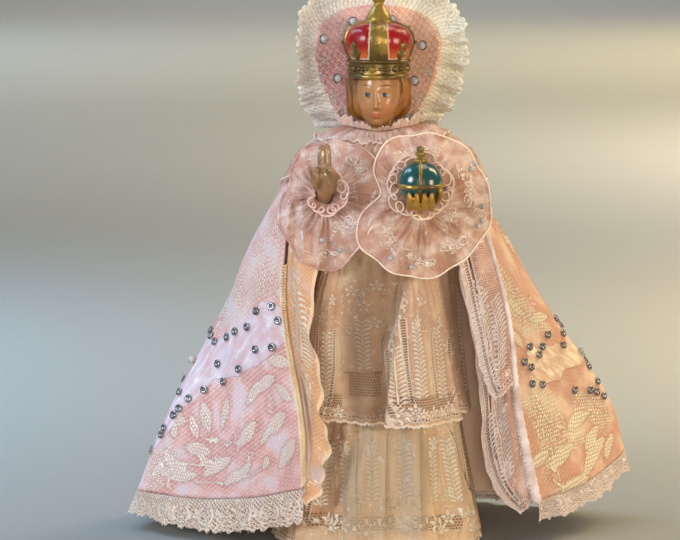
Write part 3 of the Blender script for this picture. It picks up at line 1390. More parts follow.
    def crown(self) -> None:
        """The crown: red cap, studded band, four straps, leaves between them, a bell, a ball and a cross."""
        centre = np.array([HEAD.x, HEAD.y + 2, 0.0])
        rim = lambda angle, radius, z: around(angle, radius, z) + centre
        profile = lambda s: np.moveaxis(through([(r, 0, h) for r, h in self.cap], s), -1, 0)[[0, 2]]
        quarter = TURN / self.straps
        u, v = grid(36, 145)
        turn = u * TURN
        radius, z = profile(v)
        from_strap = np.abs((turn + quarter / 2) % quarter - quarter / 2)
        edge = np.minimum(from_strap * radius - 0.5 * self.strap_width * mix(0.8, 1.1, v), z - 344.0)
        top, bottom = (rim(0 * turn[:1], 0, h) for h in (370.0, 340.5))
        red = np.concatenate([top, rim(turn, radius + 0.7 * ease(edge, 0, 3.0), z), bottom])
        paint = stack(edge, z - 345.0, 0)
        panels = Shape().skin(red, {"paint": np.concatenate([paint[:1], paint, paint[-1:]])})
        gold = Shape()
        band = [(0, 344.2), (19.5, 344.2), (20.9, 343.6), (21.4, 342.6), (20.9, 341.6), (20.2, 341.2), (20.1, 340.2),
            (20.1, 335.0),
                (20.3, 334.0), (20.9, 333.6), (21.5, 332.4), (21.1, 331.0), (20.4, 330.5), (0, 330.5)]
        gold.skin(turned(band, 50, 97, (HEAD.x, HEAD.y + 2)))
        k, w = np.meshgrid(np.linspace(-1, 1, 17), np.linspace(0, 1, 32))
        radius, z = profile(w * 0.93)
        reach = np.arcsin(np.clip(0.5 * self.strap_width * mix(0.8, 1.1, w) / np.maximum(radius, 7), 0, 0.7)) * k
        ridge = 0.5 * bump(np.abs(k), 0.88, 0.09) + 0.35 * bump(k, 0, 0.35) * (0.5 + 0.5 * cos(w * 38))
        height = 1.5 * np.sqrt(np.clip(1 - np.abs(k) ** 8, 0, 1)) + ridge - 0.4
        spots = profile(np.array([0.34, 0.6, 0.88]))
        leaves = ((0, 8.0, 2.5, 5.2), (-0.75, 4.2, 1.7, 3.4), (0.75, 4.2, 1.7, 3.4), (-0.4, 3.0, 1.4, 8.2),
            (0.45, 3.0, 1.3, 8.6))
        for n in range(self.straps):
            strap = rim(n * quarter + reach, radius + height, z + height * ease(w, 0.45, 0) * 0.9)
            gold.skin(strap, closed=False, poles=False)
            for aside in (-2.0, 2.0):
                gold.balls(rim(n * quarter + aside / spots[0], spots[0] + 1.6, spots[1]), 1.25, 7, 11)
            for tilt, length, width, lift in leaves:
                form = ball((0, 0, 0), (width, 1.1, length), 9, 9)
                spin = tilt * (-1 if n in (0, 1) else 1)
                level = form[..., 2] * cos(spin) - form[..., 0] * sin(spin) + 344 + lift
                aside = form[..., 0] * cos(spin) + form[..., 2] * sin(spin) + 3.0 * sin(spin)
                wall = np.interp(level, [341, 343, 348.4, 354.6, 360], [19.4, 19.6, 22.4, 24.2, 23.8])
                gold.skin(rim((n + 0.5) * quarter + aside / wall, wall + 0.6 - form[..., 1], level))
        for n in range(self.studs):
            angle = (n + 0.5) * TURN / self.studs
            if n % 2:
                gold.balls(rim(angle, 20.4, 337.6), (2.3, 1.9, 2.3), 7, 11)
            else:
                for dx, dz in ((0, 2.1), (0, -2.1), (3.0, 0), (-3.0, 0)):
                    gold.balls(rim(angle + dx / 20.4, 20.2, 337.6 + dz), (1.7, 1.2, 1.3), 7, 11)
                gold.balls(rim(angle, 20.2, 337.6), (1.0, 1.5, 1.0), 7, 11)
        bell = [(0, 389.2), (3.4, 388.6), (4.6, 386.6), (4.7, 384.6), (3.3, 382.4), (3.6, 381.2), (4.6, 379.4),
            (6.6, 376.4), (8.6, 372.8),
                (9.4, 370.4), (10.2, 369.4), (10.0, 368.0), (0, 367.0)]
        gold.skin(turned(bell, 44, 49, (HEAD.x, HEAD.y + 2)))
        gold.balls(rim(np.arange(14) * TURN / 14, 9.9, 369.4), 1.15, 7, 9)
        gold.balls(rim(np.arange(10) * TURN / 10, 7.6, 374.6), 0.7, 5, 9)
        gold.tube(np.linspace(centre + UP * 388.0, centre + UP * 398.9, 12), np.linspace(1.4, 1.0, 12), 10, 0.8)
        arm = centre + stack(np.linspace(-3.2, 3.2, 9), 0, 396.0)
        gold.tube(arm, [1.25, 1.1, 0.95, 0.9, 0.9, 0.9, 0.95, 1.1, 1.25], 10, 0.8)
        self.cast(gold, "crown_gold", GOLD)
        self.cast(panels, "crown_cap", RED)

    def blessing_hand(self) -> None:
        """The right arm and hand: two fingers raised together, two folded, and the thumb laid across them."""
        shape = Shape()
        self.limbs(shape, 26, self.right_arm)
        self.limbs(shape, 22, [(-37.5, -50, 253, 5.0), (-37.3, -54.5, 258, 5.6), (-37.2, -56.4, 263.5, 6.4),
            (-37.3, -57.2, 269, 6.0)])
        self.limbs(
            shape, 16, [(-35.4, -57.6, 266, 3.0), (-35.4, -58.6, 274, 2.9), (-35.6, -58.4, 281, 2.7),
                (-35.9, -58, 287.4, 2.4)],
            [(-39.6, -57.4, 266, 2.9), (-39.5, -58.2, 274, 2.8), (-39.4, -58.2, 281, 2.6), (-39.1, -58, 286.6, 2.3)],
            [(-42.2, -57, 266, 2.9), (-43.2, -60.6, 271.8, 2.7), (-43, -63.2, 270, 2.5), (-42.2, -63.4, 265.4, 2.2)],
            [(-43.2, -57, 261, 2.6), (-44.6, -60.4, 266.4, 2.4), (-44.2, -62.6, 264.6, 2.2),
                (-43.6, -62.6, 260.8, 1.9)],
            [(-32.6, -57, 258.6, 3.3), (-30.6, -60, 265, 3.0), (-31.6, -62.2, 270.6, 2.6), (-34.4, -62.8, 273.4, 2.2)],
        )
        shape.balls([(-35.7, -60.0, 288.0), (-39.1, -60.0, 287.2)], (1.5, 0.7, 1.9), 7, 11)
        self.cast(shape, "blessing_hand", HAND, 0.75)

    def orb_hand(self) -> None:
        """The left arm and hand with the orb: four fingers curl up its front, and the thumb lies at its side."""
        x, y, z = self.orb
        middle, r = np.array(self.orb), self.orb_radius
        foot = z - r
        hand = Shape()
        self.limbs(hand, 26, self.left_arm)
        palm = ((27, -56, 247.5, 5.0), (x, y + 8, foot - 0.6, 5.4), (x, y - 1, foot - 1.8, 4.6),
            (x, y - 6, foot - 1.4, 3.4))
        thumb = ((x + 5, y + 4, foot + 0.4, 3.2), (x + 10.6, y - 1.5, foot + 3.5, 2.8),
            (x + 13.2, y - 6.5, foot + 8.0, 2.3), (x + 12.8, y - 8.4, foot + 11.0, 1.9))
        self.limbs(hand, 22, palm)
        for spread in (-1.0, -0.34, 0.34, 1.0):
            side, front = x + 7.4 * spread, y - r * (1 - 0.07 * spread**2)
            bends = ((y - 4, -1.2, 2.4), (front + 4.5, -0.6, 2.3), (front + 0.6, 3.0, 2.1), (front - 0.5, 6.8, 1.9),
                (front - 0.4, 9.0, 1.6))
            self.limbs(hand, 22, [(side, ahead, foot + up, radius) for ahead, up, radius in bends])
            hand.skin(ball((side, front - 2.0, foot + 8.8), (0.9, 0.5, 1.3), 7, 9))
        self.limbs(hand, 22, thumb)
        self.cast(hand, "orb_hand", BRIGHT_GOLD, 0.75)
        self.cast(Shape().skin(ball(self.orb, r, 40, 57)), "orb", TEAL)
        u, v = grid(15, 97)
        bands = Shape().skin(around(u * TURN, r + 1.1 * cos(v * TURN), 1.6 * sin(v * TURN) - 1.4)[::-1] + middle,
            poles=False)
        angle, across = np.linspace(0, TURN, 73), np.linspace(0, TURN, 13)[None, :, None]
        hoop = r * stack(0, cos(angle), sin(angle))[:, None] * (1 + 0.065 * cos(across))
        hoop = hoop + np.array([1.3, 0, 0]) * sin(across)
        bands.skin(hoop[:, ::-1] + middle, poles=False)
        bands.balls(around(np.arange(18) * TURN / 18, r + 1.0, -1.4) + middle, 0.8, 5, 9)
        knob = ((0, 24.9), (2.2, 24.2), (2.6, 22.6), (2.2, 21.2), (3.5, 20.2), (3.5, 19.2), (2.2, 18.0), (2.9, 16.8),
            (4.6, 15.6), (4.4, 14.4), (0, 14))
        bands.skin(turned([(a, b + z) for a, b in knob], 40, 33, (x, y)))
        self.cast(bands, "orb_bands", GOLD)

    def build(self) -> None:
        """Builds all the pieces of the cast figure."""
        self.robe(), self.head(), self.hair(), self.crown(), self.blessing_hand(), self.orb_hand()


# Garments


@dataclass
class Gown:
    """The gown's long tier: a pleated cone with one fold that runs down towards the right foot."""

    top: float = 287.0
    hem: float = 2.0
    thickness: float = 1.0
    cut: Cut = Cut((0.48, 0.3), "gathered", "cast_robe", 0.1)

    @staticmethod
    def oval_at(turn: Array, z: Array) -> Array:
        """The gown's smooth radius at a turn and a height, from its half width, front depth and back depth."""
        rows = ((0, 79, 77, 65), (95, 60, 60, 53), (180, 49, 50, 43), (235, 43, 37, 33), (266, 35, 26, 25),
            (280, 22, 17, 18), (288, 12.8, 12.8, 12.8))
        height, *sizes = np.array(rows).T
        side, front, back = (cubic(height, size, z) for size in sizes)
        return oval(turn, side, front_to_back(turn, front, back))

    @staticmethod
    def pleats(turn: Array, z: Array) -> Array:
        """How far the nine soft pleats lie in: half their depth times (1 - cos), less towards the top."""
        return 6.0 * (1 - ease(z, 15, 225)) * (0.5 - 0.5 * cos(9 * (turn - 0.5) + 0.5 * sin(2 * turn)))

    def surface(self) -> Cloth:
        """The gown's cloth: the pleated oval with finer creases that run down it and fade upwards."""
        u, v = grid(116, 251)
        turn, z = front_turn(u), mix(self.top, self.hem, v)
        fold = turn_bump(turn, mix(-0.78, -0.22, z / 95), 0.13) * (1 - ease(z, 95, 130)) * ease(z, 0, 20)
        radius = self.oval_at(turn, z) - np.maximum(self.pleats(turn, z), 8.4 * fold)
        creases = 0.9 * sin(31 * turn + 1.4 * sin(3 * turn) + 0.02 * z) + 0.6 * sin(47 * turn - 0.03 * z)
        ridge = 1.6 * turn_bump(turn, 0.42 + 0.0006 * (z - 60), 0.05)
        ridge = ridge - 1.4 * turn_bump(turn, 0.62 - 0.002 * (z - 60), 0.06)
        broad = 1.3 * sin(14 * turn + 0.9 * sin(4 * turn) + 0.012 * z) + 0.8 * sin(21 * turn - 0.02 * z + 1)
        radius = radius + (1 - ease(z, 60, 140)) * (0.5 * creases + ridge + broad - 0.9)
        return Cloth(around(turn, radius, z), turn * 72.0, (self.top - z) * 1.02, closed=True)

    def build(self) -> None:
        """Works the lace: ladders and ferns that run down, tulips over the border, and a scalloped edge."""
        cloth = self.surface()
        cloth.each(
            cloth.ladder, ((357, 438), (357, 478), (358, 512)), ((387, 440), (387, 475), (387, 511)),
            ((421, 438), (421, 475), (422, 511)), ((450, 430), (462, 470), (474, 511)),
            ((330, 440), (318, 480), (306, 520)),
        )
        cloth.each(
            cloth.fern, ((344, 500), (343, 440)), ((372, 502), (372, 438)), ((404, 500), (404, 436)),
            ((434, 502), (433, 436)), ((458, 500), (446, 438)), ((320, 505), (332, 440)),
        )
        for column, row in ((404, 530), (366, 532), (441, 532), (330, 530), (474, 530)):
            cloth.flower(cloth.spot(column, row), -13.0 if column == 404 else -10.0)
        sprays = ((344, 452), (372, 448), (404, 446), (434, 444), (357, 500), (389, 498), (420, 498), (450, 494),
            (330, 462), (452, 452), (310, 498))
        for n, pixel in enumerate(sprays):
            cloth.spray(cloth.spot(*pixel), 5.6 if n < 4 else -6.0, 6.0, 3.8, (0.6 * n, 0.6 * n))
        cloth.area(Work.SHADE, ((352, 424), (424, 424), (430, 470), (426, 540), (348, 540), (340, 480)))
        cloth.area(
            Work.HOLES, ((350, 515), (394, 515), (394, 529), (350, 529)),
            ((414, 515), (462, 515), (462, 529), (414, 529)),
            ((304, 512), (344, 515), (342, 529), (300, 526)),
        )
        width = 72.0 * TURN
        for n in range(26):
            spot = np.array([(n - 12.5) * width / 26, 266.0])
            cloth.flower(spot, 6.0)
            cloth.scroll(spot + [width / 52, -2], 4.6, 1 if n % 2 else -1, 0.4)
        for n in range(18):
            if abs(n - 8.5) > 3.2:
                x = (n - 8.5) * width / 18
                cloth.ladder(np.array([(x, 170.0), (x, 250.0)]))
                cloth.fern(np.array([(x + 10, 245.0), (x + 10, 180.0)]))
        piece = Shape().shell(cloth, self.thickness).finish("lace_gown", CREAM_LACE, "cream_lace", "gown")
        self.cut.sew(cloth, piece)


@dataclass
class UpperSkirt:
    """The shorter lace tier, whose full lobes leave a recess between the two in front."""

    waist: float = 214.0
    hem: float = 96.0
    thickness: float = 0.7
    cut: Cut = Cut((0.44, 0.12), "gathered", "lace_gown")
    lobes: tuple = (  # edges at the waist, edges at the hem, how far it stands out, and how steep its side is
        ((-1.9, -1.5), (-2.1, -1.3), 5, 0.3), ((-0.85, -0.5), (-1.15, -0.4), 8, 0.2),
        ((0.34, 0.72), (0.09, 1.02), 12.5, 0.05), ((1.4, 1.8), (1.3, 2.1), 5, 0.3),
    )

    def gathered(self, turn: Array, share: Array) -> Array:
        """A turn at the hem drawn in towards its place at the waist, by the lobes' own edges."""
        gather, spread = ([-pi, *(t for lobe in self.lobes for t in lobe[n]), pi] for n in (0, 1))
        return mix(np.interp(turn, spread, gather), turn, share)

    def swell(self, turn: Array) -> Array:
        """How far each lobe stands out, steeply at one side and softly at the other."""
        return sum(
            out * ease(turn, a - steep / 2, a + steep / 2) * (1 - ease(turn, b - 2.5 * steep, b + steep / 2))
            for _, (a, b), out, steep in self.lobes
        )

    def surface(self) -> Cloth:
        """The tier's cloth: the pleated gown's radius, the lobes, and gathers that fade from the waist down."""
        u, v = grid(86, 261)
        turn = front_turn(u)
        z = mix(self.waist, self.hem, v)
        place = self.gathered(turn, v)
        out = self.swell(turn) * ease(v, 0, 0.3) * (0.35 + 0.65 * v)
        gathers = sin(44 * turn + 1.5 * sin(5 * turn)) * 0.7 * (1 - ease(v, 0.05, 0.55))
        soft = (0.9 * sin(13 * turn + 3 * v) + 0.5 * sin(23 * turn - 2 * v)) * ease(v, 0.2, 1)
        radius = Gown.oval_at(place, z) - Gown.pleats(place, z) + 4.5 + out + gathers + soft
        place = place - 0.085 * bump(signed_turn(turn), self.lobes[2][1][0] + 0.045, 0.05) * ease(v, 0.05, 0.45)
        scallop = (1.2 * np.abs(sin(turn * 24)) - 1.0) * ease(v, 0.93, 1)
        return Cloth(around(place, radius, z - scallop), turn * 66.0, (self.waist - z) * 1.05, closed=True)

    def build(self) -> None:
        """Works the lace: slanted ladders, ferns, scrolls and rosettes above the scalloped edge."""
        cloth = self.surface()
        cloth.each(
            cloth.ladder, ((388, 352), (389, 385), (391, 412)), ((402, 320), (406, 360), (412, 402)),
            ((431, 330), (433, 360), (438, 398)), ((318, 330), (316, 368), (312, 404)),
            ((335, 330), (334, 370), (330, 404)),
            ((449, 340), (450, 370), (452, 400)), ((300, 350), (299, 380), (300, 404)),
        )
        cloth.each(
            cloth.fern, ((398, 404), (396, 372), (394, 345)), ((423, 398), (420, 360), (415, 320)),
            ((364, 370), (363, 340), (362, 318)), ((325, 404), (326, 366), (327, 330)),
            ((306, 404), (306, 370), (308, 345)),
            ((444, 398), (441, 360), (436, 326)),
        )
        cloth.area(Work.SHADE, ((352, 250), (412, 250), (406, 290), (396, 330), (389, 356), (390, 424), (350, 424),
            (341, 370), (346, 310)))
        cloth.each(cloth.scalloped, ((403, 300), (395, 326), (388, 350), (388, 385), (389, 424)))
        cloth.area(
            Work.HOLES, ((349, 372), (381, 372), (381, 396), (349, 396)),
            ((394, 396), (452, 392), (455, 406), (394, 412)),
            ((304, 392), (342, 394), (342, 408), (302, 406)),
        )
        for column, row in ((352, 292), (376, 286), (364, 306), (332, 300), (418, 322), (440, 322), (322, 318),
            (394, 330)):
            cloth.spray(cloth.spot(column, row), 4.6, 5.0, 3.6, (0.1 * row, 0.1 * column))
        rosettes = ((398, 416), (416, 410), (434, 412), (450, 408), (338, 412), (322, 410), (308, 412), (404, 296),
            (420, 300), (350, 330), (374, 322), (408, 338), (447, 345), (325, 352), (384, 412), (394, 414), (408, 418),
            (424, 416), (442, 414), (456, 404))
        for n, (column, row) in enumerate(rosettes):
            if n % 2 and row < 400:
                cloth.scroll(cloth.spot(column, row), 4.6, 1, 0.5 * n)
            else:
                cloth.flower(cloth.spot(column, row), -6.6 if n > 14 else 5.0)
        width = 66.0 * TURN
        for n in range(30):
            x = (n - 14.5) * width / 30
            cloth.ring((x, 116.0), 3.2, 0.5)
            if abs(n - 15) > 5:
                cloth.fern(np.array([(x, 108.0), (x + 3, 30.0)]))
                cloth.ladder(np.array([(x + width / 60, 108.0), (x + width / 60, 40.0)]))
        piece = Shape().shell(cloth, self.thickness).finish("lace_upper_skirt", PEACH_LACE, "peach_lace", "upper_skirt")
        self.cut.sew(cloth, piece)


class Side(Enum):
    """The figure's two sides."""

    RIGHT = "right"
    LEFT = "left"


@dataclass
class Sleeve:
    """A soft chiffon sleeve that turns out into a wide round flounce at the wrist."""

    side: Side
    arm: tuple
    wave: float
    flowers: tuple
    pearls: tuple
    cut: Cut
    hang: float = 0.0
    waves: int = 6
    wrist_radius: float = 5.0
    thickness: float = 0.45

    def reach(self, turn: Array) -> Array:
        """How far the flounce spreads from its wrist, by the turn from straight down towards the figure's left."""
        if self.side is Side.RIGHT:
            return 38 + 12 * turn_bump(turn, 0, 0.62) + 8 * turn_bump(turn, 1.95, 0.6) - 11 * turn_bump(turn, -1.9, 0.7)
        return 49 - 19 * turn_bump(turn, -1.85, 0.45)

    def lean(self, turn: Array) -> Array:
        """How far the flounce's rim lies back."""
        if self.side is Side.RIGHT:
            return 3 - 9 * cos(turn) - 4 * sin(turn)
        return 5 - 11 * cos(turn) + 7 * sin(turn)

    def surface(self) -> Cloth:
        """The sleeve's cloth: rings along the arm, then rings that spread from the cuff with radial gathers."""
        shoulder, elbow, wrist = (np.array(place[:3], float) for place in self.arm)
        cuff, cuff_radius = mix(wrist, elbow, 0.1), self.wrist_radius + 0.7 + 1.5
        u, v = grid(18, 241)
        turn = (u - 0.5) * TURN
        line = through([mix(shoulder, elbow, 0.4), elbow, mix(elbow, wrist, 0.5), cuff], v)
        radius = np.interp(v, np.linspace(0, 1, 4), (12.5, 13.5, 12.0, cuff_radius))
        puff = 0.8 * sin(9 * turn + 4 * v) * sin(v * pi) + 0.5 * sin(21 * turn) * ease(v, 0.5, 1)
        tube = line + stack(sin(turn), 0, -cos(turn)) * (radius + puff)[..., None]
        u, v = grid(44, 241)
        turn = (u - 0.5) * TURN
        spread = v**0.9
        rim = self.reach(turn) * (1 + 0.022 * sin(5 * turn + 1) + 0.016 * sin(11 * turn)) - 0.8
        flounce = cuff + stack(sin(turn), 0, -cos(turn)) * mix(cuff_radius, rim, spread)[..., None]
        wander = turn + 0.16 * sin(3 * turn + 2 * v) + 0.05 * sin(8 * turn)
        gather = 3.6 * (0.6 - np.abs(sin(10 * wander))) * ease(v, 0, 0.2) * (1 - 0.82 * v)
        gather = gather + 1.1 * sin(29 * wander + 1) * ease(v, 0, 0.3) * (1 - v)
        swell = self.wave * spread * sin(self.waves * turn) - 3.0 * sin(pi * v) * (0.6 + 0.4 * cos(2 * turn))
        soft = spread**1.4 * (2.6 * sin(4 * turn + 0.7) + 2.0 * sin(9 * turn + 2) + 0.8 * sin(17 * turn))
        hang = self.hang * sin(0.6 * flounce[..., 0] + 0.02 * flounce[..., 2]) * ease(v, 0.15, 0.6)
        flounce[..., 1] += self.lean(turn) * spread + swell + gather + soft + hang * turn_bump(turn, -0.75, 0.85)
        places = rolled(np.concatenate([tube, flounce[1:]]), 0.32)
        turn, length = turn[:1], run(places, 0)
        plain = 40 * self.hang * turn_bump(turn, -1.7, 0.9)
        down = length.mean(1, keepdims=True) + 0 * turn
        return Cloth(places, turn * 24.0 + 0 * down, down, closed=True, edge=length[-1:] - length + plain)

    def build(self) -> None:
        """Sews on the embroidered flowers and the small pearls."""
        cloth = self.surface()
        for column, row, size in self.flowers:
            centre = cloth.spot(column, row)
            cloth.flower(centre, size * 0.9)
            cloth.scroll(centre + [size * 1.2, size * 0.3], size * 0.8, 1, 0.1 * row)
            cloth.scroll(centre - [size * 0.9, size * 0.7], size * 0.7, -1, 0.1 * column)
        for n, angle in enumerate(np.linspace(-2.9, 2.9, 9)):
            spot = np.array([angle * 24.0, cloth.down[-10, 0] - 8 - 3 * (n % 2)])
            cloth.scroll(spot, 2.9, 1 - 2 * (n % 2), n)
            cloth.leaf(spot + [2.5, -1], spot + [6.0, 1.5], 2.2)
        name = f"{self.side.value}_sleeve"
        self.cut.sew(cloth, Shape().shell(cloth, self.thickness).finish(f"chiffon_{name}", CHIFFON, "chiffon", name))
        spots = cloth.spots(self.pearls)
        beads = Shape().balls(cloth.places[spots] + facing(cloth.places, True)[spots] * 1.2, 1.9, 9, 13)
        beads.finish(f"{name}_pearls", PEARL, "pearl", name)


@dataclass
class CuffFrill:
    """A curly frill of pink net round a hand, where the flounce leaves the wrist."""

    name: str
    node: str
    centre: tuple[float, float, float]
    inner: float
    outer: float
    curls: int
    cut: Cut
    gap: tuple[float, float] = (9.0, 0.1)

    def build(self) -> None:
        """A ring of net that stands forward: its front edge runs in loops, by a circle carried round the ring."""
        u, v = grid(8, 361)
        turn = u * TURN
        ring, along = stack(sin(turn), 0, -cos(turn)), stack(cos(turn), 0, sin(turn))
        full = 1 - turn_bump(turn, *self.gap)
        loop = self.curls * turn + 0.9 * sin(3 * turn) + 0.7 * sin(8 * turn + 2)
        middle = mix(self.inner, mix(self.inner + 1.0, self.outer, full), v**0.7) + 0.9 * sin(5 * turn)
        swing = (0.4 + 2.8 * full) * v**0.6 * (1 + 0.3 * sin(7 * turn + 1) + 0.2 * sin(11 * turn))
        places = np.array(self.centre) + ring * (middle + swing * cos(loop))[..., None]
        places = places + along * (1.4 * swing * sin(loop))[..., None]
        places[..., 1] += 1.2 * v * sin(2 * turn + 1) - 5.5 * v
        places = rolled(places, 0.4)
        turn, down = np.broadcast_arrays(turn[:1] - pi, np.linspace(0, 7, len(places))[:, None])
        cloth = Cloth(places, turn * self.outer * 1.6, down, closed=True)
        self.cut.sew(cloth, Shape().shell(cloth, 0.35).finish(self.name, CUFF_CHIFFON, "chiffon", self.node))


@dataclass
class ShoulderRuffle:
    """Gathered chiffon from the neck out over the shoulders, with a second rolled edge across the chest."""

    side: float = 73.0
    front: float = 34.0
    back: float = 50.0
    thickness: float = 0.45

    def point(self, turn: Array, v: Array, reach: float, lift: float) -> Array:
        """The ruffle's form: an oval that grows from the neck and falls, droops beside the arms and lifts on the left.

        Args:
            turn: turns from the front.
            v: shares of the way out.
            reach: the rim's share of the whole ruffle's.
            lift: how far it lies above the ruffle.

        Returns:
            Places.
        """
        w = v * reach
        aside = np.abs(signed_turn(turn))
        rim = oval(turn, self.side, front_to_back(turn, self.front, self.back))
        droop = 18 * ease(aside, 0.9, 1.4) * (1 - ease(aside, 1.8, 2.3)) * w**6
        raised = 15 * w * (1 - w) * np.maximum(0, sin(turn)) - 3 * turn_bump(turn, 0, 0.9)
        z = 296 - 20 * w**1.4 - droop + raised + 1.8 * w**3 * sin(9 * turn)
        wander = turn + 0.1 * sin(4 * turn + v)
        gathers = 1.3 * sin(34 * wander) * ease(w, 0.02, 0.3) * (1 - 0.65 * w) + 0.8 * sin(19 * wander + 2) * ease(w,
            0.1, 0.8)
        puffs = 1.4 * sin(11 * turn + 7 * w) * sin(16 * w + 2 * sin(3 * turn)) * ease(w, 0.1, 0.4)
        return around(turn, mix(17, rim, w), z + gathers + puffs + lift * ease(v, 0, 0.2)) + stack(3 * w, 0, 0)

    def build(self) -> None:
        """The ruffle, and a shorter layer over it."""
        flowers = ((334, 138, 3.4), (350, 134, 4.2), (362, 138, 3.0), (305, 158, 3.6), (460, 143, 3.4), (474, 165, 3.0),
            (322, 148, 3.2))
        for name, rows, reach, lift, cut in (
            ("chiffon_shoulder_ruffle", 44, 1.0, 0.0, Cut((0.41, 0.08), "gathered", "lace_gown", 0.016)),
            ("chiffon_shoulder_layer", 26, 0.56, 2.2, Cut((0.3, 0.038), "gathered", "chiffon_shoulder_ruffle", 0.0065)),
        ):
            u, v = grid(rows, 241)
            places = rolled(self.point((u - 0.5) * TURN, v * 0.985, reach, lift), 0.32)
            turn, down = np.broadcast_arrays((u[:1] - 0.5) * TURN, run(places, 0).mean(1, keepdims=True))
            cloth = Cloth(places, turn * 44.0, down, closed=True)
            for column, row, size in flowers:
                cloth.flower(cloth.spot(column, row), size)
            cut.sew(cloth, Shape().shell(cloth, self.thickness).finish(name, CHIFFON, "chiffon", "shoulder_ruffle"))


@dataclass
class NeckFrill:
    """A small upright ring of pleated pink net round the foot of the hair, lower under the chin."""

    waves: int = 30
    thickness: float = 0.35
    cut: Cut = Cut((0.22, 0.0125), "gathered", "moulded_hair", 0.0015)

    def build(self) -> None:
        """Pleats of a sine round an oval that opens upwards."""
        u, v = grid(8, 361)
        turn, up = u * TURN, 1 - v
        slack, full = 1 + 0.6 + 1.5, 1.02 * 1.08
        radius = oval(turn, 22.2 * full + slack, front_to_back(turn, 18.5, 16.4 * full + 4.2 + slack))
        low = turn_bump(turn, 0, 0.8)
        z = mix(298.6, 295.0, low) + up * mix(8.0, 1.9,
            low) + up * (0.9 * sin(2 * self.waves * turn) + 1.1 * sin(11 * turn))
        wave = (0.9 * sin(8 * turn) + 1.3 * sin(self.waves * turn + 1.2 * sin(5 * turn))) * (0.25 + 0.75 * up)
        places = around(turn, radius + 2 * up + wave, z) + stack(HEAD.x, 0, 0)
        length = run(places, 0)
        cloth = Cloth(places, (turn - pi) * 40, length, closed=True, edge=length)
        piece = Shape().shell(cloth, self.thickness).finish("net_neck_frill", FRILL_NET, "pink_net", "neck_frill")
        self.cut.sew(cloth, piece)


